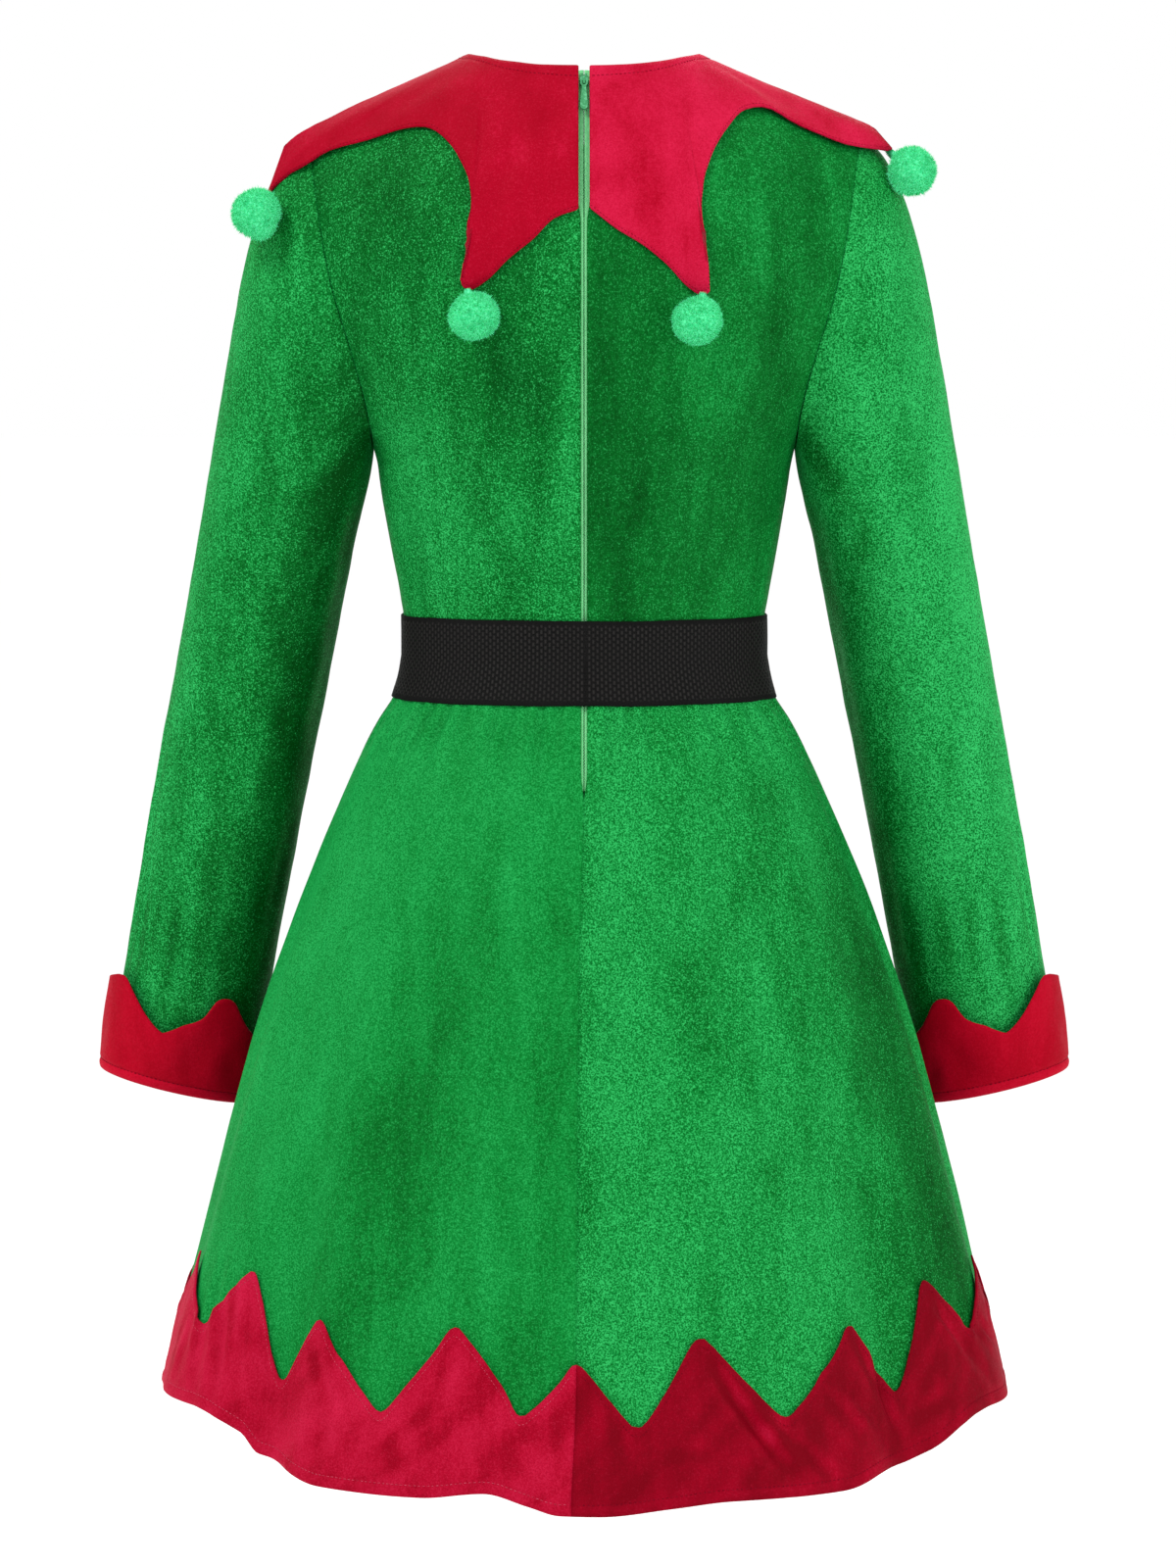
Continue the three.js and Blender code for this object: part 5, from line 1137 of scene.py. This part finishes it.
def trim_grid(kind, lo, hi, nu, nv):
    sgn = {"left": 1, "right": -1, "front": 1}[kind]
    cols = np.linspace(lo, hi, nu)
    peaks = np.r_[trim_nodes[:, 0], trim_nodes[:, 0] + 360]
    peaks = peaks[(peaks > min(lo, hi) + 0.3) & (peaks < max(lo, hi) - 0.3)]
    for k in peaks:
        cols[np.argmin(np.abs(cols - k))] = k
    f = np.linspace(0, 1, nv)[:, None]
    at = cols[None, :] + 0 * f
    high = trim_high(at)
    up = -0.4 + f * (high + 0.4)
    hem_z = hem("z", turn_to(at)) + 0.4
    z = hem_z + up / 1.045
    if kind != "front":
        start = 0.0 * z - 0.012
        a = np.abs(at)
        at = np.sign(hi if hi != 0 else lo) * (start + a * (90 - start) / 90) if kind == "left" else -(start + a * (90 - start) / 90)
        near = lean_at(at, z)
        z = z + (hem("z", turn_to(near)) - hem("z", turn_to(at))) * np.clip(1 - up / 40, 0, 1)
        at = near
    g, n = skirt_surface(at, z)
    scale = 250 * DEG
    h = 0 * up
    a = turn_to(at)
    for a0, u0, a1, u1, w, k, bow in TRIM_CREASES:
        for turn in (-360, 0, 360):
            if abs((a0 + a1) / 2 + turn) < 230:
                h += creases(a * scale, up, [((a0 + turn) * scale, u0, (a1 + turn) * scale, u1, w, k, bow * scale)])
    h += 0.4 * ripple(250 * np.cos(a * DEG) + 500, 250 * np.sin(a * DEG) + 500 + up, 13, 81)
    # Turned-up hem: a line of stitches 6.5 mm above the edge pulls in, and the fold below it is full.
    h = h * np.clip(up / 9, 0.15, 1) - 0.55 * np.exp(-(((up - 6.5) / 1.2) ** 2)) + 0.35 * np.exp(-(((up - 3) / 2) ** 2))
    # The applied edge is turned under, so it is full and then drops to the skirt.
    from_edge = (high - up) * 0.62
    h += 0.35 * np.exp(-(((from_edge - 1.8) / 1.6) ** 2))
    if kind != "front":
        h -= 0.6 * np.exp(-((np.abs(cols)[None, :] * DEG * 200 / 1.2) ** 2))
        h -= 0.7 * np.exp(-(((90 - np.abs(cols))[None, :] * DEG * 200 / 1.8) ** 2))
    else:
        for c in (90, 270):
            h -= 0.7 * np.exp(-((np.abs(cols - c)[None, :] * DEG * 200 / 1.8) ** 2))
    h = np.clip(h, -1.7, 2.2)
    p = g + n * (2.9 + h)[..., None]
    # Painted light and shade on the two sides of each crease, on the back panels away from their seams, then softened.
    flank_light_and_shade = np.clip(np.gradient(h, axis=1) * (-0.55 if kind == "left" else 0.55), -0.3, 0.4) * (np.abs(np.abs(cols) - 45)[None, :] < 43.5)
    for axis in (0, 1, 0, 1):
        flank_light_and_shade = (np.roll(flank_light_and_shade, 1, axis) + 2 * flank_light_and_shade + np.roll(flank_light_and_shade, -1, axis)) / 4
    p[..., 1] += {"front": -1, "left": 1, "right": 1}[kind] * SEAM
    return p, n, at, up, high, flank_light_and_shade


def trim_tone(at, up, kind):
    a = turn_to(at)
    t = 0.16 * ripple(250 * np.cos(a * DEG) + 500, 250 * np.sin(a * DEG) + 500 + up, 26, 91) + 0.10 * ripple(250 * np.cos(a * DEG) + 300, 250 * np.sin(a * DEG) + 300 + up, 11, 92)
    # Painted light and shade over a random tone: the left back painted lighter, more so towards its side; the right
    # back painted darker, with a lighter band just above the hem.
    if kind == "left":
        t = t + 0.12 + 0.12 * np.clip((a - 30) / 40, 0, 1)
    elif kind == "right":
        t = t - 0.22 + 0.10 * np.exp(-(((up - 4) / 5) ** 2))
    return t


hem_lines = []
for kind, name, lo, hi, nu in (("left", "hem_trim_back_left", 0, 90, 150), ("right", "hem_trim_back_right", 0, -90, 150), ("front", "hem_trim_front", 90, 270, 220)):
    g, n, at, up, high, flank_light_and_shade = trim_grid(kind, lo, hi, nu, 40)
    held = {"first": 1, "last": 1} if kind == "front" else {"first": 0, "last": 1}
    o = shell(f"{name}_velvet", g, n, 1.2, RED, RED_BACK, held=held, free=("top", "bottom"), tone=trim_tone(at, up, kind) + flank_light_and_shade)
    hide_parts(name)
    note(o)
    line, normals = [], []
    for i in range(1, g.shape[1] - 1):
        k = np.clip(np.searchsorted(up[:, i], 6.5), 1, len(up) - 1)
        w = (6.5 - up[k - 1, i]) / (up[k, i] - up[k - 1, i])
        line.append(g[k - 1, i] * (1 - w) + g[k, i] * w)
        normals.append(n[k, i])
    # The left back's stitches take the lighter copy of the thread as painted light; the others the darker thread.
    stitches(f"{name}_hem_stitches", np.array(line), np.array(normals), 2.8, 1.9, 0.45, RED_THREAD_LIT if kind == "left" else RED_THREAD_DARK, lift=0.08, seed=101)
    line, normals = [], []
    for i in range(1, g.shape[1] - 1):
        d = 5.2
        k = np.clip(np.searchsorted(up[:, i], high[0, i] - d), 1, len(up) - 1)
        w = (high[0, i] - d - up[k - 1, i]) / (up[k, i] - up[k - 1, i])
        line.append(g[k - 1, i] * (1 - w) + g[k, i] * w)
        normals.append(n[k, i])
    # Lighter thread on the left back, as painted light.
    stitches(f"{name}_edge_stitches", np.array(line), np.array(normals), 2.4, 1.5, 0.38, RED_THREAD_LIT if kind == "left" else RED_THREAD_DARK, lift=0.05, seed=102)

# ---------------------------------------------------------------- belt

BELT_ANGLES = np.arange(360)


def belt_section(z):
    up = z > WAIST
    return (
        np.where(up, body("half", z), skirt_section("half", z)),
        np.where(up, body("back", z), skirt_section("back", z)),
        np.where(up, body("front", z), skirt_section("front", z)),
    )


at = (np.arange(300) * 1.2)[None, :]
f = np.linspace(0, 1, 34)[:, None]
a = at * DEG
# The top and bottom edges waver a little; the cloth below pushes the lower edge out unevenly.
low = BELT_FOOT - 0.2 + 0.5 * ripple(120 * np.cos(a) + 300, 120 * np.sin(a) + 300, 30, 111)
top = BELT_TOP + 0.4 * ripple(120 * np.cos(a) + 300, 120 * np.sin(a) + 300, 34, 112)
z = low + f * (top - low)
half, back_, front_ = belt_section(z)
grow = 1.9 + 0.35 * ripple(120 * np.cos(a) + 500 + 0 * z, 120 * np.sin(a) + 500 + z, 22, 113)
grow = grow + 0.5 * np.exp(-((f - 0.0) / 0.12) ** 2) * ripple(120 * np.cos(a) + 900, 120 * np.sin(a) + 900, 12, 114)
# A soft upright ridge where the zip runs underneath.
grow = grow + 0.9 * np.exp(-((turn_to(at) / 1.4) ** 2)) - 0.4 * np.exp(-(((np.abs(turn_to(at)) - 4.0) / 1.5) ** 2))
# The woven edges are a shade thinner than the body of the band.
grow = grow - 0.35 * np.exp(-((f / 0.05) ** 2)) - 0.3 * np.exp(-(((1 - f) / 0.04) ** 2))
g = np.stack([(half + grow) * np.sin(a), (np.where(np.cos(a) > 0, back_, front_) + grow + GAP / 2) * np.cos(a), z], -1)
ring = g[17]
step = np.linalg.norm(np.roll(ring, -1, 0) - ring, axis=1)
run = np.r_[0, np.cumsum(step)][:-1]
uv = np.stack([np.broadcast_to(run / 1000, z.shape), np.broadcast_to(f * 0.050, z.shape)], -1)
o = shell("belt_elastic", g, g * UP, 1.4, ELASTIC, ELASTIC, closed=True, free=("top", "bottom"), uv=uv)
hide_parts("belt")
note(o)

# ---------------------------------------------------------------- collar

COLLAR_BACK = {
    "left": [
        (4, 3.95, -71, 1, 0), (10, 17.6, -76, 1, 0), (17, 30, -88, 1, 0), (24, 46, -101, 1, 0), (30, 58, -113, 1, 0.5), (34.5, 67, -118.5, 1, 1),
        (38, 73, -115.5, 1, 1), (44, 70.6, -100, 1, 0.5), (50, 68.5, -82, 1, 0), (56, 67.5, -66, 1, 0), (62, 69, -54, 1, 0), (67, 75, -40, 1, 0),
        (72, 83, -29, 1, 0), (76, 96, -21.6, 1, 0.3), (79.5, 113, -23.7, 1, 0.5), (82.5, 131, -29.6, 1, 0.8), (85, 154, -36, 1, 1.5), (87.5, 169, -45, 1, 2.5),
        (90, 189, -61.5, 1, 4.5),
    ],
    "right": [
        (4, 3.95, -70.5, 1, 0), (10, 20, -82.7, 1, 0), (17, 35, -91.7, 1, 0), (24, 50, -104, 1, 0), (30, 62, -117, 1, 0.5), (34.5, 69, -121.5, 1, 1),
        (38, 75, -119.5, 1, 1), (44, 74.5, -105, 1, 0.5), (50, 71.5, -88, 1, 0), (56, 70.3, -71, 1, 0), (62, 71.6, -55, 1, 0), (67, 76.8, -38, 1, 0),
        (72, 87, -21, 1, 0.3), (76, 97, -11.5, 1, 1), (79.5, 113, -12, 1, 2), (82.5, 131, -21.5, 1, 1.2), (85, 152, -30.5, 1, 2), (87.5, 170, -35, 1, 3),
        (90, 183, -37, 1, 6),
    ],
}
COLLAR_FRONT = [
    (93, 149, -31, -1, 2.5), (96, 139, -31.5, -1, 1.5), (100, 126, -30, -1, 0.8), (104, 113, -28, -1, 0.5), (109, 98, -29, -1, 0), (116, 87, -40, -1, 0),
    (123, 80, -56, -1, 0), (130, 76, -76, -1, 0), (139, 74, -104, -1, 0), (152, 77, -140, -1, 1), (156, 71, -145, -1, 1),
    (163, 54, -131, -1, 0.5), (172, 29, -110, -1, 0), (180, 0, -98, -1, 0),
]
# Soft dents of the collar, as (turn, share of the way out, from and to), with a width and height in mm.
COLLAR_CREASES = {
    "left": [(24, 0.45, 34, 0.86, 5, -1.0, 1), (30, 0.62, 22, 0.80, 5, 0.7, 0), (78, 0.30, 86, 0.95, 5, -1.0, 1), (70, 0.2, 74, 0.8, 6, -0.7, -1), (12, 0.2, 16, 0.7, 7, -0.6, 1), (48, 0.5, 52, 0.9, 5, -0.6, 0)],
    "right": [(22, 0.40, 33, 0.88, 5, -0.9, -1), (30, 0.55, 38, 0.9, 4, -0.8, 1), (80, 0.25, 87, 0.95, 5, -1.1, -1), (71, 0.2, 75, 0.8, 6, -0.8, 1), (10, 0.25, 14, 0.75, 7, -0.6, -1), (50, 0.5, 54, 0.92, 5, -0.6, 0)],
    "front": [(102, 0.3, 94, 0.95, 5, -1.0, 1), (112, 0.3, 108, 0.85, 6, -0.8, 0), (140, 0.4, 152, 0.9, 6, -1.0, 1), (160, 0.4, 154, 0.9, 5, -0.9, 0), (172, 0.3, 170, 0.9, 7, -0.7, 0), (126, 0.4, 130, 0.9, 6, -0.7, 0)],
}
COLLAR_WALL = 1.7


def collar_half(side, sgn, per, nf):
    rows = COLLAR_BACK[side] + COLLAR_FRONT
    table = []
    for turn, x, z, face, lift in rows:
        w = 0.0 if face == 0 else float(yoke_angle(np.array(float(x)), np.array(float(z)), face))
        table.append([turn, x, w, lift])
    edge = Table(["turn", "x", "w", "lift"], table)
    turns = np.array([r[0] for r in rows], float)
    # Columns: even along the outline, with one on every listed point.
    cols = [turns[0]]
    for p, q in zip(turns[:-1], turns[1:]):
        k = max(2, int(per * (q - p) / 3.0) + 2)
        cols += list(p + (q - p) * np.arange(1, k + 1) / k)
    turn = np.array(cols)[None, :]
    f = np.linspace(0, 1, nf)[:, None]
    face = np.where(turn <= 90, 1, -1)
    x0 = np.where(turn >= 179.99, 0, NECK_X * np.sin(turn * DEG))
    w0 = np.where(np.abs(turn - 90) < 1e-6, 0, yoke_angle(x0, neck_height(x0, face), face))
    x1, w1, lift = edge("x", turn), edge("w", turn), edge("lift", turn)
    # At the zip the collar's end is straight, from the nape down to its corner.
    near = np.clip(1 - (turn - 4) / 3, 0, 1)
    xn = x0 * (1 - near) + 3.95 * near
    x, w = xn + (x1 - xn) * f, w0 + (w1 - w0) * f
    base = yoke(x, w)
    n = yoke_normal(np.maximum(0.5, x), w)
    n = np.where((x < 0.5)[..., None], n * np.array([0, 1, 1]), n)
    n = unit(n)
    # Distance along the cloth from the neck, and along the outline.
    seg = np.linalg.norm(np.diff(base, axis=0), axis=-1)
    out_run = np.r_[np.zeros((1, base.shape[1])), np.cumsum(seg, 0)]
    total = out_run[-1:]
    h = 0 * x
    for name, low, high in ((side, 0, 90), ("front", 90, 180)):
        for t0, f0, t1, f1, wd, k, bow in COLLAR_CREASES[name]:
            s = 1.35
            h += creases(turn * s + 0 * f, f * 80 + 0 * turn, [(t0 * s, f0 * 80, t1 * s, f1 * 80, wd, k, bow)])
    h += 0.35 * ripple(turn * 1.4 + 0 * f, out_run, 16, 121 if sgn > 0 else 122)
    # The neck edge rolls over its seam, and the topstitching 6.5 mm from it pulls in.
    h -= 0.45 * np.exp(-(((out_run - 6.5) / 1.3) ** 2))
    h += 0.25 * np.exp(-(((out_run - 3) / 2.2) ** 2))
    # The outline is a turned, pressed edge.
    rest = total - out_run
    h += 0.3 * np.exp(-(((rest - 2) / 1.8) ** 2))
    g = base + n * (0.6 + COLLAR_WALL + 0.4 + lift * f * f + np.clip(h, -0.9, 2))[..., None]
    tone = 0.14 * ripple(turn * 1.4 + 0 * f, out_run, 30, 131 if sgn > 0 else 132)
    # Painted light and shade: the right back half of the collar lighter and the left back half a little darker.
    tone = tone + (0.2 if sgn < 0 else -0.06) * (turn < 90)
    g[..., 2] += 2.6 * np.exp(-((turn / 26) ** 2)) * np.clip(1 - out_run / 16, 0, 1) ** 1.5
    g[..., 0] *= sgn
    n = n.copy()
    n[..., 0] *= sgn
    return g, n, out_run, total, tone


gl, nl, rl, tl, ol = collar_half("left", 1, 1.6, 34)
gr, nr, rr, tr, orr = collar_half("right", -1, 1.6, 34)
g = np.concatenate([gl, gr[:, ::-1][:, 1:]], 1)
n = np.concatenate([nl, nr[:, ::-1][:, 1:]], 1)
tone = np.concatenate([ol, orr[:, ::-1][:, 1:]], 1)
run_ = np.concatenate([rl, rr[:, ::-1][:, 1:]], 1)
total_ = np.concatenate([tl, tr[:, ::-1][:, 1:]], 1)
o = shell("collar_velvet", g, n, COLLAR_WALL, RED_COLLAR, RED_BACK, held={"first": 0, "last": 0}, free=("top", "bottom", "first", "last"), tone=tone)
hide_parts("collar")
note(o)


def line_on(g, n, run, dist):
    line, normals = [], []
    for i in range(g.shape[1]):
        d = dist[i]
        k = int(np.clip(np.searchsorted(run[:, i], d), 1, len(run) - 1))
        w = np.clip((d - run[k - 1, i]) / max(run[k, i] - run[k - 1, i], 1e-6), 0, 1)
        line.append(g[k - 1, i] * (1 - w) + g[k, i] * w)
        normals.append(n[k, i])
    return np.array(line), np.array(normals)


line, normals = line_on(g, n, run_, np.full(g.shape[1], 6.5))
stitches("collar_neck_stitches", line, normals, 2.8, 2.0, 0.42, RED_THREAD_DARK, lift=0.06, seed=141)
line, normals = line_on(g, n, run_, total_[0] - 1.6)
stitches("collar_edge_stitches", line, normals, 2.3, 1.4, 0.34, RED_THREAD_DARK, lift=0.04, seed=142)

# ---------------------------------------------------------------- pompoms

POMPOMS = {
    "back_left": (66, 115.2, -135), "back_right": (-68, 114.6, -137.6), "shoulder_left": (200.5, 48, -72.5),
    "shoulder_right": (-202, 27, -47), "front_left": (74, -124, -161), "front_right": (-74, -124, -161),
}


# Where each is tied on: the tip of a collar point.
TIES = {
    "back_left": (70, 112, -119), "back_right": (-71.5, 111, -121), "shoulder_left": (192, 42, -62),
    "shoulder_right": (-187, 8, -33.5), "front_left": (75, -118, -144), "front_right": (-75, -118, -144),
}


def pompom(name, centre, seed):
    """Trimmed yarn ends: a lumpy core with short blades standing out of it in all directions."""
    r = np.random.RandomState(seed)
    verts, faces, tone = [], [], []
    # Core: an icosphere-like spiral of points would leave gaps, so it is a grid with lumps.
    nu, nv = 48, 26
    lumps = r.normal(size=(26, 3))
    lumps = unit(lumps)
    size = r.uniform(-1.1, 1.3, 26)

    def lump(d):
        return sum(s * np.exp(-((1 - (d @ l)) / 0.10)) for s, l in zip(size, lumps))

    # The core is painted dark (tone 0.2), as painted shade under the blades.
    for j in range(nv + 1):
        th = PI * j / nv
        for i in range(nu):
            ph = 2 * PI * i / nu
            d = np.array([math.sin(th) * math.cos(ph), math.sin(th) * math.sin(ph), math.cos(th)])
            verts.append(d * (14.0 + lump(d)))
            tone.append(0.2)
    for j in range(nv):
        for i in range(nu):
            a, b = j * nu + i, j * nu + (i + 1) % nu
            if j == 0:
                faces.append((a, a + nu, b + nu, -1))
            elif j == nv - 1:
                faces.append((a, a + nu, b, -1))
            else:
                faces.append((a, a + nu, b + nu, b))
    blades = 4700
    k = np.arange(blades)
    z = 1 - 2 * (k + 0.5) / blades
    ph = k * PI * (3 - math.sqrt(5))
    d = np.stack([np.sqrt(1 - z * z) * np.cos(ph), np.sqrt(1 - z * z) * np.sin(ph), z], -1)
    d = unit(d + r.normal(0, 0.05, d.shape))
    root = 13.2 + lump(d)
    tip = root + 2.3 + 0.6 * r.rand(blades) + np.where(r.rand(blades) > 0.9, r.rand(blades) * 1.7, 0)
    side = unit(np.cross(d, unit(r.normal(size=d.shape))))
    bend = unit(np.cross(d, unit(r.normal(size=d.shape)))) * r.uniform(0.4, 1.8, (blades, 1))
    wide = r.uniform(0.13, 0.25, (blades, 1))
    shade = r.uniform(0.0, 1.0, blades) * (0.75 + 0.25 * np.clip(lump(d), 0, 1))
    base = len(verts)
    p0 = d * root[:, None]
    p1 = d * ((root + tip) / 2)[:, None] + bend * 0.35
    p2 = d * tip[:, None] + bend
    v = np.stack([p0 - side * wide, p0 + side * wide, p1 - side * wide * 0.9, p1 + side * wide * 0.9, p2], 1)
    verts = np.concatenate([np.array(verts), v.reshape(-1, 3)])
    # Each blade is painted darker at its root and lighter at its tip: painted shade down among the blades.
    tone = np.concatenate([np.array(tone), np.stack([shade * 0.1, shade * 0.1, shade * 0.7, shade * 0.7, shade], 1).reshape(-1)])
    i0 = base + np.arange(blades) * 5
    f4 = np.stack([i0, i0 + 1, i0 + 3, i0 + 2], -1)
    f3 = np.stack([i0 + 2, i0 + 3, i0 + 4, -np.ones(blades, int)], -1)
    faces = np.concatenate([np.array(faces), f4, f3])
    # The tied yarn tails that join it to the point of the collar.
    tails = 320
    to = np.array(TIES[name], float) - np.array(centre)
    far = np.linalg.norm(to)
    to = to / far
    across = unit(np.cross(to, [0.3, 0.9, 0.2]))
    other = np.cross(to, across)
    ang, rad = r.uniform(0, 2 * PI, tails), np.sqrt(r.rand(tails))
    ring = np.cos(ang)[:, None] * across + np.sin(ang)[:, None] * other
    q0 = to * 12.5 + ring * (rad * 5.0)[:, None]
    q2 = to * (far + r.uniform(-2.0, 1.2, tails))[:, None] + ring * (rad * 2.4)[:, None]
    q1 = (q0 + q2) / 2 - ring * 0.8
    wide = np.cross(ring, to) * 0.34
    v = np.stack([q0 - wide, q0 + wide, q1 - wide, q1 + wide, q2], 1)
    i0 = len(verts) + np.arange(tails) * 5
    verts = np.concatenate([verts, v.reshape(-1, 3)])
    tone = np.concatenate([tone, np.repeat(r.uniform(0.0, 0.45, tails), 5)])
    faces = np.concatenate([faces, np.stack([i0, i0 + 1, i0 + 3, i0 + 2], -1), np.stack([i0 + 2, i0 + 3, i0 + 4, -np.ones(tails, int)], -1)])
    # Squeezed a little where it is stitched on.
    verts = verts * np.array([1.0, 1.0, 0.985])
    o = make(f"pompom_{name}_fluff", verts + np.array(centre), faces, FLUFF, tone=tone)
    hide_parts(f"pompom_{name}")
    return o


for k, (name, centre) in enumerate(POMPOMS.items()):
    pompom(name, centre, 150 + k)

# ---------------------------------------------------------------- zip

TAPE_IN, TAPE_WIDE, ZIP_TOP, ZIP_FOOT = 2.3, 11.0, 15.4, -421.0


def back_line(z):
    z = np.asarray(z, float)
    up = depth(0 * z, np.minimum(z, 20), 1)
    return np.where(z > WAIST, up, skirt_plain(0 * z, np.minimum(z, WAIST))[..., 1])


heights = np.linspace(ZIP_TOP, ZIP_FOOT, 190)
slope = (back_line(heights + 1.5) - back_line(heights - 1.5)) / 3
tape_n = unit(np.stack([0 * slope, 1 + 0 * slope, -slope], -1))
for sgn, side in ((1, "left"), (-1, "right")):
    # A flat woven tape with a slightly thicker edge beside the teeth.
    xs = np.array([0.35, 0.9, 1.6, 2.2, 3.2, 5.0, 7.0, 9.0, 10.2, TAPE_WIDE])[None, :] + 0 * heights[:, None]
    h = 0.25 * np.exp(-(((xs - 1.2) / 0.8) ** 2)) - 0.12 * np.exp(-(((xs - 3.4) / 0.8) ** 2)) + 0.08 * ripple(xs, heights[:, None], 14, 161)
    y = back_line(heights)[:, None] + GAP / 2 - xs**2 / 360
    g = np.stack([sgn * xs, y, heights[:, None] + 0 * xs], -1) + tape_n[:, None, :] * (-TAPE_IN + h)[..., None]
    uv = np.stack([xs / 1000, (ZIP_TOP - heights)[:, None] / 1000 + 0 * xs], -1)
    o = shell(f"zip_tape_{side}_cloth", g, np.broadcast_to([0, 1.0, 0], g.shape), 0.7, TAPE, TAPE, free=("first", "last", "top", "bottom"), uv=uv)
    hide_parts(f"zip_tape_{side}")
    note(o)

# Coil: small loops of nylon, left and right in turn, coloured near black as painted shade of the narrow gap and seen as
# a dark line between the tapes.
verts, faces = [], []
run = np.r_[0, np.cumsum(np.hypot(np.diff(heights), np.diff(back_line(heights))))]
count = int(run[-1] / 0.95)
for i in range(count):
    s = 4 + i * 0.95
    if s > run[-1] - 2:
        break
    z = np.interp(s, run, heights)
    k = int(np.clip(np.searchsorted(run, s), 1, len(run) - 1))
    nn = tape_n[k]
    tt = unit(np.array([0, nn[2], -nn[1]]))
    c = np.array([0, float(back_line(z)) + GAP / 2, z]) - nn * (TAPE_IN + 0.25)
    sgn = 1 if i % 2 else -1
    start = len(verts)
    path = [(-0.25, -0.35), (0.3, 0.12), (1.0, 0.15), (1.35, -0.3)]
    for px, py in path:
        for b in range(4):
            ang = PI / 4 + b * PI / 2
            verts.append(c + np.array([sgn * px, 0, 0]) + nn * (py + 0.26 * math.sin(ang)) + tt * 0.36 * math.cos(ang))
    for q in range(len(path) - 1):
        for b in range(4):
            faces.append((start + q * 4 + b, start + q * 4 + (b + 1) % 4, start + (q + 1) * 4 + (b + 1) % 4, start + (q + 1) * 4 + b))
    faces.append((start + 3, start + 2, start + 1, start))
    faces.append((start + 12, start + 13, start + 14, start + 15))
o = make("zip_coil", np.array(verts), faces, COIL_PAINTED_SHADE)

for name in ("zip_slider", "zip_pull_tab", "zip_stop_left", "zip_stop_right"):
    node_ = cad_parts[name]
    node_.data.materials.clear()
    node_.data.materials.append(ENAMEL)

# ---------------------------------------------------------------- studio

floor_mesh = bpy.data.meshes.new("floor")
floor_mesh.from_pydata([(-30, -40, -1.36), (30, -40, -1.36), (30, 20, -1.36), (-30, 20, -1.36)], [], [(0, 1, 2, 3)])
floor = bpy.data.objects.new("floor", floor_mesh)
scene.collection.objects.link(floor)
fm, fnt, fb = new_material("studio_floor")
fb.inputs["Base Color"].default_value = (0.95, 0.95, 0.95, 1)
fb.inputs["Emission Color"].default_value = (1, 1, 1, 1)
fb.inputs["Emission Strength"].default_value = 0.06
fb.inputs["Roughness"].default_value = 0.9
fb.inputs["Specular IOR Level"].default_value = 0.1
floor_mesh.materials.append(fm)

world = bpy.data.worlds.new("studio")
scene.world = world
world.use_nodes = True
world.node_tree.nodes["Background"].inputs[0].default_value = (1, 1, 1, 1)
world.node_tree.nodes["Background"].inputs[1].default_value = 1.0


def area_light(name, eye, target, size, power):
    d = bpy.data.lights.new(name, "AREA")
    d.shape, d.size, d.energy = "DISK", size, power
    o = bpy.data.objects.new(name, d)
    scene.collection.objects.link(o)
    aim(o, eye, target)
    return o


area_light("key", (2.0, 1.7, 2.6), (0, 0, -0.4), 0.9, 62)
area_light("fill", (-2.6, 2.4, 0.3), (0, 0, -0.5), 1.8, 34)
area_light("rim", (0.0, -2.6, 1.6), (0, 0, -0.4), 2.0, 26)
